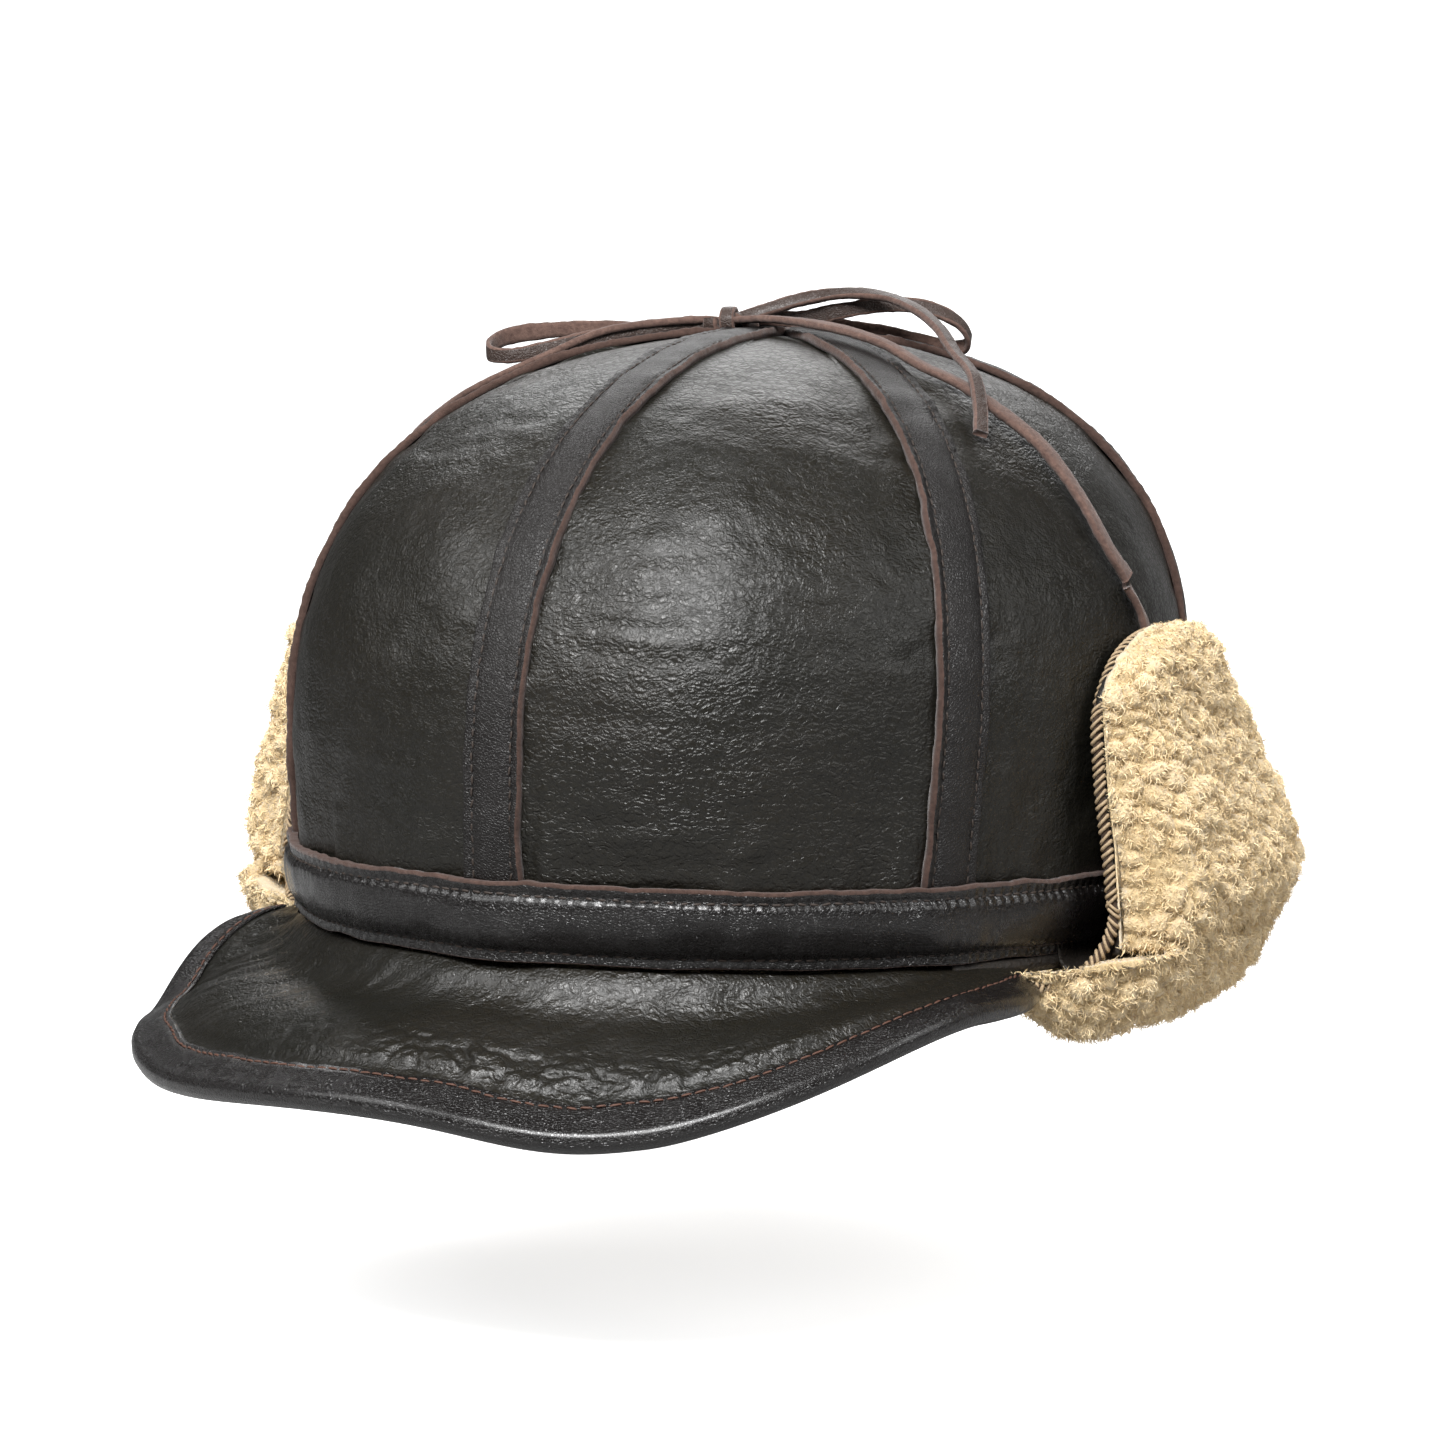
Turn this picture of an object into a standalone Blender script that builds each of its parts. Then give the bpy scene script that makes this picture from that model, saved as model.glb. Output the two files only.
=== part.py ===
"""Shearling trapper hat: six-gore crown, seam tapes, band, soft bill, two hinged ear flaps,
a turned-up rear cuff and the laces tied in a bow over the crown.

Frame: origin at the bottom centre of the hat's box. +Z up, the bill points to -Y, the wearer's
left is +X. The shapes are worked out in millimetres from the centre of the head opening, on the
rim plane, and FRAME_SHIFT carries them to the frame's origin.
"""

import bpy
import bmesh
import math
import numpy as np

for ob in list(bpy.data.objects):
    bpy.data.objects.remove(ob, do_unlink=True)

MM = 0.001
FRAME_SHIFT = (0.0, 7.51, 35.94)    # from the centre of the head opening to the frame's origin

# ---- driving dimensions (mm) -------------------------------------------------
HALF_WIDTH = 102.5        # crown half width at its widest
HALF_LENGTH = 121.0       # crown half length at its widest
CROWN_HEIGHT = 138.0      # rim to pole, outside of the leather
WIDEST_Z = 50.0           # height of the widest section
RIM_TAPER = 0.05          # how much narrower the rim is than the widest section
CROWN_POWER = 2.3         # superellipse power of the upper crown
POLE_SHIFT = 16.0         # the pole sits this far behind the centre of the rim
GORE_PUFF = 2.5           # how far each gore swells between its seams
SEAMS = (0.0, 53.0, 118.0, 180.0)   # seam angles from the front, mirrored left and right
LEATHER = 1.5
WOOL = 9.5
GAP = 0.3
TAPE_WIDTH = 13.5
TAPE_THICK = 1.7
BAND_LOW = 0.6
BAND_HIGH = 17.6
BAND_THICK = 2.0
BILL_SPAN = 66.0
BILL_DEPTH = 38.5
BINDING_WIDTH = 10.0
BILL_SKIN = 1.2
BOARD = 1.0
AXIS_YAW = 10.1           # the fold line of an ear flap, degrees from straight fore and aft
AXIS_N = 102.0            # its distance from the hat's centre line
AXIS_Z = -2.0
FLAP_FRONT = -46.0
FLAP_REAR = 58.0
FLAP_N = 109.5            # skin side of the ear flap at its middle
FLAP_SAG = 9.5
FLAP_BASE = 1.2
FLAP_TIP_T = -15.0
FLAP_TIP_Z = 73.0
FLAP_REAR_Z = 42.0
CUFF_EDGE = 134.5         # the rear cuff runs from this angle round the back
CUFF_HEIGHT = 40.0
LACE_W = 3.4
LACE_T = 1.8

rad = math.radians


def smooth(a, b, x):
    k = min(1.0, max(0.0, (x - a) / (b - a)))
    return k * k * (3.0 - 2.0 * k)


# ---- the crown surface -------------------------------------------------------
def section(phi, t=0.0):
    """Radius of the widest section at angle phi, offset t inward."""
    a, b = HALF_WIDTH - t, HALF_LENGTH - t
    return 1.0 / math.hypot(math.sin(phi) / a, math.cos(phi) / b)


def profile(z, t=0.0):
    top = CROWN_HEIGHT - t
    if z > WIDEST_Z:
        k = min(1.0, (z - WIDEST_Z) / (top - WIDEST_Z))
        return (1.0 - k ** CROWN_POWER) ** (1.0 / CROWN_POWER)
    return 1.0 - RIM_TAPER * (max(0.0, WIDEST_Z - z) / WIDEST_Z) ** 1.5


def centre_y(z):
    return POLE_SHIFT * (min(max(z, 0.0), CROWN_HEIGHT) / CROWN_HEIGHT) ** 2.2


def puff(phi, z, f):
    deg = abs(math.degrees(phi)) % 360.0
    if deg > 180.0:
        deg = 360.0 - deg
    for lo, hi in zip(SEAMS, SEAMS[1:]):
        if deg <= hi:
            k = (deg - lo) / (hi - lo)
            break
    return GORE_PUFF * math.sin(math.pi * k) ** 2 * min(1.0, 1.5 * f) * min(1.0, max(0.0, z / 14.0))


def crown_radius(phi, z, t=0.0):
    f = profile(z, t)
    return section(phi, t) * f + puff(phi, z, f)


def crown_point(phi, z, t=0.0):
    r = crown_radius(phi, z, t)
    return np.array([r * math.sin(phi), centre_y(z) - r * math.cos(phi), z])


def crown_s(phi, s, t=0.0):
    """Point on the crown, s = 0 at the rim and 1 close to the pole."""
    top = CROWN_HEIGHT - t
    if s < 0.3:
        z = WIDEST_Z * s / 0.3
    else:
        z = WIDEST_Z + (top - WIDEST_Z) * math.sin(rad(88.0) * (s - 0.3) / 0.7) ** (2.0 / CROWN_POWER)
    return crown_point(phi, z, t)


HEART = np.array([0.0, 8.0, 62.0])


def drape(p, t=0.0):
    """Slide p along the ray from the middle of the crown until it lies t inside the crown's skin."""
    d = np.asarray(p, float) - HEART
    d = d / np.linalg.norm(d)
    lo, hi = 20.0, 190.0
    for _ in range(40):
        mid = 0.5 * (lo + hi)
        q = HEART + d * mid
        z = q[2]
        if z >= CROWN_HEIGHT - t:
            outside = True
        else:
            y = q[1] - centre_y(z)
            outside = math.hypot(q[0], y) > crown_radius(math.atan2(q[0], -y), z, t)
        if outside:
            hi = mid
        else:
            lo = mid
    return HEART + d * lo


def rim_radius(phi):
    return crown_radius(phi, 0.0)


# ---- building helpers --------------------------------------------------------
collection = bpy.data.collections.new("trapper_hat")
bpy.context.scene.collection.children.link(collection)


def material(name, colour, rough, metallic=0.0):
    m = bpy.data.materials.new(name)
    m.use_nodes = True
    b = m.node_tree.nodes["Principled BSDF"]
    b.inputs["Base Color"].default_value = (*colour, 1.0)
    b.inputs["Roughness"].default_value = rough
    b.inputs["Metallic"].default_value = metallic
    return m


M_CROWN = material("olive_black_leather", (0.030, 0.030, 0.025), 0.38)
M_TAPE = material("brown_black_leather", (0.022, 0.018, 0.016), 0.45)
M_WOOL = material("cream_wool", (0.60, 0.47, 0.28), 0.95)
M_HIDE = material("dark_hide", (0.028, 0.022, 0.018), 0.55)
M_EDGE = material("tan_overcast_edge", (0.19, 0.12, 0.085), 0.8)
M_LACE = material("lace_leather", (0.045, 0.032, 0.026), 0.6)
M_CORE = material("stiffener_board", (0.16, 0.13, 0.10), 0.9)


def slab(name, shape, nu, nv, mat, nw=1, smooth_shade=True, bevel=0.0, origin=(0.0, 0.0, 0.0)):
    """A block of nu x nv x nw cells, reshaped by shape(u, v, w) with u, v, w in 0..1 (mm)."""
    bm = bmesh.new()
    bmesh.ops.create_grid(bm, x_segments=nu, y_segments=nv, size=0.5)
    for v in bm.verts:
        v.co.z = 0.0
    faces = list(bm.faces)
    for k in range(nw):
        ring = bmesh.ops.extrude_face_region(bm, geom=faces)
        new = [g for g in ring["geom"] if isinstance(g, bmesh.types.BMVert)]
        for v in new:
            v.co.z = (k + 1) / nw
        if k:
            bmesh.ops.delete(bm, geom=faces, context="FACES_ONLY")
        faces = [g for g in ring["geom"] if isinstance(g, bmesh.types.BMFace)]
    for v in bm.verts:
        q = shape(v.co.x + 0.5, v.co.y + 0.5, v.co.z)
        v.co = [(float(q[i]) - origin[i]) * MM for i in range(3)]
    bmesh.ops.recalc_face_normals(bm, faces=bm.faces)
    if bm.calc_volume(signed=True) < 0.0:
        bmesh.ops.reverse_faces(bm, faces=bm.faces)
    me = bpy.data.meshes.new(name)
    bm.to_mesh(me)
    bm.free()
    for p in me.polygons:
        p.use_smooth = smooth_shade
    me.materials.append(mat)
    ob = bpy.data.objects.new(name, me)
    ob.location = [(c + s) * MM for c, s in zip(origin, FRAME_SHIFT)]
    collection.objects.link(ob)
    return ob


def spline(points, count):
    """Evenly spaced points on a smooth curve through the given stations."""
    p = [np.asarray(q, float) for q in points]
    p = [2 * p[0] - p[1]] + p + [2 * p[-1] - p[-2]]
    dense = []
    for i in range(1, len(p) - 2):
        for j in range(12):
            k = j / 12.0
            a, b, c, d = p[i - 1], p[i], p[i + 1], p[i + 2]
            dense.append(0.5 * (2 * b + (c - a) * k + (2 * a - 5 * b + 4 * c - d) * k * k
                                + (3 * b - a - 3 * c + d) * k ** 3))
    dense.append(p[-2])
    dense = np.array(dense)
    run = np.concatenate([[0.0], np.cumsum(np.linalg.norm(np.diff(dense, axis=0), axis=1))])
    at = np.linspace(0.0, run[-1], count)
    return np.stack([np.interp(at, run, dense[:, i]) for i in range(3)], axis=1)


def thong(name, path, count, up, mat, width=LACE_W, thick=LACE_T, origin=(0.0, 0.0, 0.0)):
    """A flat thong along path; up(p) gives the direction of its thickness."""
    pts = spline(path, count)
    tan = np.gradient(pts, axis=0)
    tan /= np.linalg.norm(tan, axis=1)[:, None]

    def shape(u, v, w):
        i = int(round(u * (count - 1)))
        n = up(pts[i])
        n = n - tan[i] * np.dot(n, tan[i])
        n /= np.linalg.norm(n)
        side = np.cross(tan[i], n)
        return pts[i] + side * (v - 0.5) * width + n * (w - 0.5) * thick

    return slab(name, shape, count - 1, 1, mat, origin=origin)


# ---- crown gores and their wool ----------------------------------------------
GORES = (("front_left", 0, 1, 1), ("front_right", 0, 1, -1), ("side_left", 1, 2, 1),
         ("side_right", 1, 2, -1), ("rear_left", 2, 3, 1), ("rear_right", 2, 3, -1))

for tag, i, j, hand in GORES:
    a0, a1 = rad(SEAMS[i]), rad(SEAMS[j])

    def gore(u, v, w, outer, inner):
        t = outer + (inner - outer) * w
        mid = crown_s(0.5 * (a0 + a1), v, t)
        r = max(4.0, math.hypot(mid[0], mid[1] - centre_y(mid[2])))
        trim = 0.5 * GAP / r
        phi = hand * (a0 + trim + (a1 - a0 - 2 * trim) * u)
        return crown_s(phi, v, t)

    slab("crown_gore_" + tag, lambda u, v, w: gore(u, v, w, 0.0, LEATHER), 6, 9, M_CROWN)
    slab("crown_wool_" + tag,
         lambda u, v, w: gore(u, v, w, LEATHER + GAP, LEATHER + GAP + WOOL), 6, 9, M_WOOL)


# ---- seam tapes --------------------------------------------------------------
TAPE_OFF = 0.8
TAPE_FOOT = BAND_HIGH + 0.6


def tape_point(phi, v, off, t):
    """Point of a tape: v = 0 just above the band, 1 at the pole."""
    s0 = 0.3 * TAPE_FOOT / WIDEST_Z
    s = s0 + (1.0 - s0) * v
    c = crown_s(phi, s)
    side = np.array([math.cos(phi), math.sin(phi), 0.0])
    q = drape(c + side * off, 0.0)
    lift = q - HEART
    lift = lift / np.linalg.norm(lift)
    q = q + lift * t
    if v < 0.05:
        q[2] = TAPE_FOOT
    return q


def centre_tape(u, v, w):
    off = (v - 0.5) * TAPE_WIDTH
    t = TAPE_OFF + TAPE_THICK * w
    k = 2.0 * u
    if k <= 0.985:
        return tape_point(0.0, k, off, t)
    if k >= 1.015:
        return tape_point(math.pi, 2.0 - k, -off, t)
    top = np.array([off, centre_y(CROWN_HEIGHT), CROWN_HEIGHT])
    return drape(top) + np.array([0.0, 0.0, t])


slab("seam_tape_centre", centre_tape, 32, 2, M_TAPE)
for tag, angle in (("front_left", 53.0), ("front_right", -53.0),
                   ("rear_left", 118.0), ("rear_right", -118.0)):
    reach = 0.90

    def side_tape(u, v, w, phi=rad(angle)):
        off = (v - 0.5) * TAPE_WIDTH * (1.0 - 0.35 * smooth(0.75, 1.0, u))
        return tape_point(phi, reach * u, off, TAPE_OFF + TAPE_THICK * w)

    slab("seam_tape_" + tag, side_tape, 14, 2, M_TAPE)


# ---- band --------------------------------------------------------------------
def band(u, v, w):
    phi = rad(-179.75 + 359.5 * u)
    z = BAND_LOW + (BAND_HIGH - BAND_LOW) * v
    return crown_point(phi, z, -(0.7 + BAND_THICK * w))


slab("hat_band", band, 56, 1, M_TAPE)


# ---- bill --------------------------------------------------------------------
def bill_depth(deg):
    k = min(1.0, abs(deg) / (BILL_SPAN + 0.5))
    if deg < 0.0:
        return BILL_DEPTH * math.sqrt(max(0.0, 1.0 - k ** 5))
    return BILL_DEPTH * max(0.0, 1.0 - k ** 2.5) ** 0.83


def bill_drop(deg):
    low = 24.8 + 4.6 * (math.exp(-((deg + 30.0) / 16.0) ** 2) + math.exp(-((deg - 14.0) / 10.0) ** 2))
    return low * (1.0 - 0.80 * smooth(20.0, 52.0, deg)) * (1.0 - 0.80 * smooth(52.0, 66.0, -deg))


BILL_ROOT = 1.2
STACK = 2 * BILL_SKIN + BOARD + 2 * GAP


def bill_surface(deg, v, inset=0.0):
    """Upper face of the bill; v = 0 at the band, 1 at its edge, inset mm back from that edge."""
    phi = rad(deg)
    depth = bill_depth(deg) + 3.0
    v = min(v, 1.0 - inset / max(depth, inset + 0.4))
    r = rim_radius(phi) + BILL_ROOT + depth * v
    z = -0.9 - bill_drop(deg) * v ** 0.92
    return np.array([r * math.sin(phi), -r * math.cos(phi), z])


def bill_frame(deg, v, inset=0.0):
    p = bill_surface(deg, v, inset)
    out = bill_surface(deg, min(1.0, v + 0.04)) - bill_surface(deg, max(0.0, v - 0.04))
    along = bill_surface(deg + 1.0, v) - bill_surface(deg - 1.0, v)
    n = np.cross(along, out)
    n = n / np.linalg.norm(n)
    if n[2] < 0.0:
        n = -n
    out = np.cross(n, along)
    out = out / np.linalg.norm(out)
    if np.dot(out, p) < 0.0:
        out = -out
    return p, out, n


def bill_layer(top, bottom, inset):
    def shape(u, v, w):
        deg = (2.0 * u - 1.0) * (BILL_SPAN - 2.0)
        p, _, n = bill_frame(deg, v, inset if v > 0.99 else 0.0)
        return p - np.array([0.0, 0.0, 1.0]) * (top + (bottom - top) * w)
    return shape


slab("bill_top_leather", bill_layer(0.0, BILL_SKIN, 0.5), 22, 3, M_CROWN)
slab("bill_stiffener", bill_layer(BILL_SKIN + GAP, BILL_SKIN + GAP + BOARD, 1.5), 22, 3, M_CORE)
slab("bill_under_leather", bill_layer(BILL_SKIN + BOARD + 2 * GAP, STACK, 0.5), 22, 3, M_HIDE)


def binding(u, v, w):
    deg = (2.0 * u - 1.0) * (BILL_SPAN - 2.0)
    lap = min(BINDING_WIDTH, 0.75 * (bill_depth(deg) + 3.0))
    lift = 0.55 + 1.3 * w
    if v < 0.4:
        p, out, n = bill_frame(deg, 1.0, 0.3 + lap * (1.0 - v / 0.4))
        return p + np.array([0.0, 0.0, 1.0]) * lift
    if v > 0.6:
        p, out, n = bill_frame(deg, 1.0, 0.3 + lap * (v - 0.6) / 0.4)
        return p - np.array([0.0, 0.0, 1.0]) * (STACK + lift)
    p, out, n = bill_frame(deg, 1.0, 0.0)
    plan = np.array([out[0], out[1], 0.0])
    plan = plan / np.linalg.norm(plan)
    k = math.pi * (v - 0.4) / 0.2
    half = 0.5 * STACK + lift
    mid = p - np.array([0.0, 0.0, 1.0]) * 0.5 * STACK
    return mid + np.array([0.0, 0.0, 1.0]) * half * math.cos(k) + plan * (0.4 + 1.3 * w + 0.9) * math.sin(k)


slab("bill_edge_binding", binding, 22, 10, M_TAPE)


# ---- ear flaps ---------------------------------------------------------------
CY, SY = math.cos(rad(AXIS_YAW)), math.sin(rad(AXIS_YAW))


def flap_xyz(hand, t, n, z):
    """Flap coordinates to the hat frame: t along the fold toward the back, n outward."""
    return np.array([hand * (CY * n - SY * t), SY * n + CY * t, z])


def flap_top(t):
    if t < FLAP_TIP_T:
        return FLAP_TIP_Z - 14.0 * ((FLAP_TIP_T - t) / (FLAP_TIP_T - FLAP_FRONT)) ** 3
    return FLAP_REAR_Z + (FLAP_TIP_Z - FLAP_REAR_Z) * (1.0 - smooth(FLAP_TIP_T, 62.0, t))


def flap_skin(t):
    mid = 0.5 * (FLAP_FRONT + FLAP_REAR)
    return FLAP_N - FLAP_SAG * ((t - mid) / (0.5 * (FLAP_REAR - FLAP_FRONT))) ** 2


def flap_wool_depth(u, k, z):
    body = 13.0 + 8.0 * (1.0 - smooth(5.0, 60.0, z))
    edge = min(1.0, min(u, 1.0 - u) / 0.10, (1.0 - k) / 0.14)
    base = min(1.0, 0.72 + 0.28 * k / 0.15)
    return body * base * (0.45 + 0.55 * math.sqrt(max(0.0, 1.0 - (1.0 - edge) ** 2)))


def make_flap(side, hand):
    origin = flap_xyz(hand, 0.5 * (FLAP_FRONT + FLAP_REAR), AXIS_N, AXIS_Z)

    def hide(u, v, w):
        t = FLAP_FRONT + (FLAP_REAR - FLAP_FRONT) * u
        z = FLAP_BASE + (flap_top(t) - FLAP_BASE) * v
        return flap_xyz(hand, t, flap_skin(t) + LEATHER * w, z)

    def wool(u, v, w):
        t = FLAP_FRONT + 0.5 + (FLAP_REAR - FLAP_FRONT - 1.0) * u
        z = FLAP_BASE + (flap_top(t) - 0.5 - FLAP_BASE) * v
        return flap_xyz(hand, t, flap_skin(t) + LEATHER + GAP + flap_wool_depth(u, v, z) * w, z)

    slab("ear_flap_%s_hide" % side, hide, 16, 4, M_HIDE, origin=origin)
    slab("ear_flap_%s_wool" % side, wool, 16, 6, M_WOOL, origin=origin)

    def outline(k):
        """Distance along front edge, top edge and rear edge, k in 0..1."""
        if k < 0.3:
            return FLAP_FRONT, FLAP_BASE + (flap_top(FLAP_FRONT) - FLAP_BASE) * k / 0.3, -1.0, 0.0
        if k > 0.85:
            return FLAP_REAR, FLAP_BASE + (flap_top(FLAP_REAR) - FLAP_BASE) * (1.0 - k) / 0.15, 1.0, 0.0
        t = FLAP_FRONT + (FLAP_REAR - FLAP_FRONT) * (k - 0.3) / 0.55
        slope = (flap_top(min(FLAP_REAR, t + 1.0)) - flap_top(max(FLAP_FRONT, t - 1.0))) / 2.0
        size = math.hypot(1.0, slope)
        dx, dz = -slope / size, 1.0 / size
        if k < 0.36:
            blend = (k - 0.3) / 0.06
            dx, dz = dx * blend - (1.0 - blend), dz * blend + 0.3 * (1.0 - blend)
        if k > 0.80:
            blend = (0.85 - k) / 0.05
            dx, dz = dx * blend + (1.0 - blend), dz * blend + 0.3 * (1.0 - blend)
        size = math.hypot(dx, dz)
        return t, flap_top(t), dx / size, dz / size

    def bead(u, v, w):
        t, z, dx, dz = outline(u)
        out = 1.1 + 2.4 * v
        n = flap_skin(t) - 0.4 + 3.0 * w
        return flap_xyz(hand, t + dx * out, n, z + dz * out)

    slab("ear_flap_%s_overcast_edge" % side, bead, 40, 1, M_EDGE, origin=origin)

    tab = [flap_xyz(hand, FLAP_TIP_T, flap_skin(FLAP_TIP_T) - 2.2, FLAP_TIP_Z - 12.0 + 5.0 * k)
           for k in range(5)]
    thong("ear_flap_%s_lace_end" % side, tab, 5,
          lambda p: np.array([hand * CY, SY, 0.0]), M_LACE, origin=origin)


make_flap("left", 1.0)
make_flap("right", -1.0)


# ---- rear cuff ---------------------------------------------------------------
def cuff_angle(u):
    return rad(CUFF_EDGE + (360.0 - 2.0 * CUFF_EDGE) * u)


def cuff_top(u):
    return CUFF_HEIGHT + 3.0 * (2.0 * u - 1.0) ** 2


def cuff(u, v, z, out):
    phi = cuff_angle(u)
    r = crown_radius(phi, z) + 5.5 + out
    return np.array([r * math.sin(phi), centre_y(z) - r * math.cos(phi), z])


def cuff_hide(u, v, w):
    return cuff(u, v, FLAP_BASE + (cuff_top(u) - FLAP_BASE) * v, LEATHER * w)


def cuff_wool(u, v, w):
    z = FLAP_BASE + (cuff_top(u) - 0.5 - FLAP_BASE) * v
    return cuff(u, v, z, LEATHER + GAP + flap_wool_depth(u, v, z) * w)


def cuff_edge(u, v, w):
    out = 0.7 + 2.4 * v
    return cuff(u, v, cuff_top(u) + out, -0.4 + 3.0 * w)


slab("rear_cuff_hide", cuff_hide, 18, 3, M_HIDE)
slab("rear_cuff_wool", cuff_wool, 18, 5, M_WOOL)
slab("rear_cuff_overcast_edge", cuff_edge, 18, 1, M_EDGE)


# ---- laces and bow -----------------------------------------------------------
def outward(p):
    d = p - HEART
    return d / np.linalg.norm(d)


POLE = np.array([0.0, centre_y(CROWN_HEIGHT), CROWN_HEIGHT])
TIE = np.array([-8.0, 5.0, CROWN_HEIGHT - 0.4])
TAPE_TOP = TAPE_OFF + TAPE_THICK


def lace_run(name, path):
    """A lace lying on the crown through points (x, y, height guide, lift)."""
    pts = []
    for x, y, z, lift in path:
        q = drape(np.array([x, y, z]), 0.0)
        pts.append(q + outward(q) * lift)
    thong(name, pts, 18, outward, M_LACE)


lace_run("lace_run_left", [(100.5, -7.0, 83.0, 2.0), (97.0, -10.5, 91.0, 2.0), (90.0, -11.0, 102.0, 2.0),
                           (80.6, -10.0, 112.8, 2.0), (70.4, -10.4, 120.5, 2.0), (59.5, -9.5, 126.6, 2.0),
                           (49.0, -9.5, 130.2, 2.8), (39.0, -9.0, 133.0, 4.6), (28.0, -8.0, 135.6, 4.8),
                           (16.0, -6.5, 137.0, 4.8), (5.0, -5.0, 138.0, 4.8)])
lace_run("lace_run_right", [(-99.5, 3.0, 83.0, 2.0), (-97.0, 1.0, 90.0, 2.0), (-88.0, -1.0, 102.0, 2.0),
                            (-75.0, -1.0, 116.0, 2.0), (-60.0, 0.0, 126.0, 2.6), (-45.0, 3.0, 132.0, 4.6),
                            (-30.0, 6.0, 136.0, 4.8), (-17.6, 8.0, 138.0, 4.8)])


def knot(u, v, w):
    """A rounded lump beside the pole, wrapped thong reduced to its envelope."""
    x = (u - 0.5) * 2.0
    y = (v - 0.5) * 2.0
    rim = math.sqrt(max(0.0, 1.0 - 0.35 * (x * x + y * y)))
    return TIE + np.array([7.0 * x * math.sqrt(1.0 - 0.45 * y * y), 4.6 * y * math.sqrt(1.0 - 0.45 * x * x),
                           TAPE_TOP + 1.2 + 7.4 * w * rim])


slab("bow_knot", knot, 6, 6, M_LACE)


def bow_loop(name, start, heading, reach, half, lift, count=32):
    """A teardrop loop leaving the knot at start, its two runs side by side, a little raised."""
    c, s = math.cos(rad(heading)), math.sin(rad(heading))
    flat = []
    for k in range(6):
        f = k / 5.0
        flat.append(((reach - half) * f, -(2.0 + (half - 2.0) * smooth(0.0, 1.0, f))))
    for k in range(1, 6):
        a = math.pi * k / 6.0
        flat.append((reach - half + half * math.sin(a), -half * math.cos(a)))
    for k in range(5, -1, -1):
        f = k / 5.0
        flat.append(((reach - half) * f, 2.0 + (half - 2.0) * smooth(0.0, 1.0, f)))
    pts = []
    for along, across in flat:
        x = start[0] + c * along - s * across
        y = start[1] + s * along + c * across
        q = drape(np.array([x, y, CROWN_HEIGHT + 8.0]))
        rise = TAPE_TOP + 2.4 + lift * smooth(0.0, 0.6 * reach, along)
        pts.append(q + np.array([0.0, 0.0, 1.0]) * rise)
    thong(name, pts, count, lambda p: np.array([0.0, 0.0, 1.0]), M_LACE)


bow_loop("bow_loop_right", TIE + np.array([-8.4, -3.6, 0.0]), 207.0, 48.0, 7.0, 3.0)
bow_loop("bow_loop_left", TIE + np.array([8.4, 4.0, 0.0]), 27.0, 47.0, 7.5, 4.5)


def tail(name, path):
    pts = []
    for x, y, lift in path:
        q = drape(np.array([x, y, CROWN_HEIGHT + 8.0]), 0.0)
        pts.append(q + outward(q) * (TAPE_TOP + lift))
    thong(name, pts, 12, outward, M_LACE)


tail("bow_tail_left", [(2.8, 1.2, 2.4), (20.0, 2.6, 4.5), (36.0, 2.0, 4.0), (50.0, -1.5, 3.6), (60.0, -9.0, 3.2), (68.0, -19.0, 2.2)])
tail("bow_tail_right", [(-13.0, -2.6, 1.8), (-17.5, -14.0, 1.6), (-23.0, -27.0, 1.6)])
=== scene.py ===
import math

import bpy
import numpy as np
from mathutils import Matrix, Vector


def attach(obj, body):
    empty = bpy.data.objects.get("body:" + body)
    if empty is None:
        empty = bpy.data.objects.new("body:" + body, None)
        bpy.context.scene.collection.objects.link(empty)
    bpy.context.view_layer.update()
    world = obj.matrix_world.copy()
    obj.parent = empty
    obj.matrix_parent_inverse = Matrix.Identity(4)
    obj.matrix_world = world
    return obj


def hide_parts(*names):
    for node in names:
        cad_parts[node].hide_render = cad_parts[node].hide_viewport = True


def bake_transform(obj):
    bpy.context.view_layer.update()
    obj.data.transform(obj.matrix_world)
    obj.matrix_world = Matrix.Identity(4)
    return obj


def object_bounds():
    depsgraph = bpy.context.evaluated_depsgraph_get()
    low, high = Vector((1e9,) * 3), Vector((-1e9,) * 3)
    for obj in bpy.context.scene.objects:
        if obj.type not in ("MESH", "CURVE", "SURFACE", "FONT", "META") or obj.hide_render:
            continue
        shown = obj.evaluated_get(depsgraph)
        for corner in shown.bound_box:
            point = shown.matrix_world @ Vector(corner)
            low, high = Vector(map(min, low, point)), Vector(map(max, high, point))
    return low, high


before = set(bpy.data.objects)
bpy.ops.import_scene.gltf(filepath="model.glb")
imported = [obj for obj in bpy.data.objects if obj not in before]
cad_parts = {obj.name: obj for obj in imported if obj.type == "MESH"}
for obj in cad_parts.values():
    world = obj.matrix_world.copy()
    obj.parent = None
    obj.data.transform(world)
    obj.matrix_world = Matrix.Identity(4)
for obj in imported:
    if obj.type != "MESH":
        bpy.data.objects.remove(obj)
CAD_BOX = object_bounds()

MM = 0.001
pi = math.pi

# ---- the hat's driving dimensions (mm), the same as the CAD part's -----------
HALF_WIDTH, HALF_LENGTH, CROWN_HEIGHT = 102.5, 121.0, 138.0
WIDEST_Z, RIM_TAPER, CROWN_POWER, POLE_SHIFT, GORE_PUFF = 50.0, 0.05, 2.3, 16.0, 2.5
SEAMS = np.radians([0.0, 53.0, 118.0, 180.0])
AXIS_YAW, AXIS_N, AXIS_Z = math.radians(10.1), 102.0, -2.0
FLAP_FRONT, FLAP_REAR, FLAP_N, FLAP_SAG = -46.0, 58.0, 109.5, 9.5
FLAP_BASE, FLAP_TIP_T, FLAP_TIP_Z, FLAP_REAR_Z = 1.2, -15.0, 73.0, 42.0
CUFF_EDGE, CUFF_HEIGHT = 134.5, 40.0
BILL_SPAN, BILL_DEPTH, BILL_ROOT = 66.0, 38.5, 1.2
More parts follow.
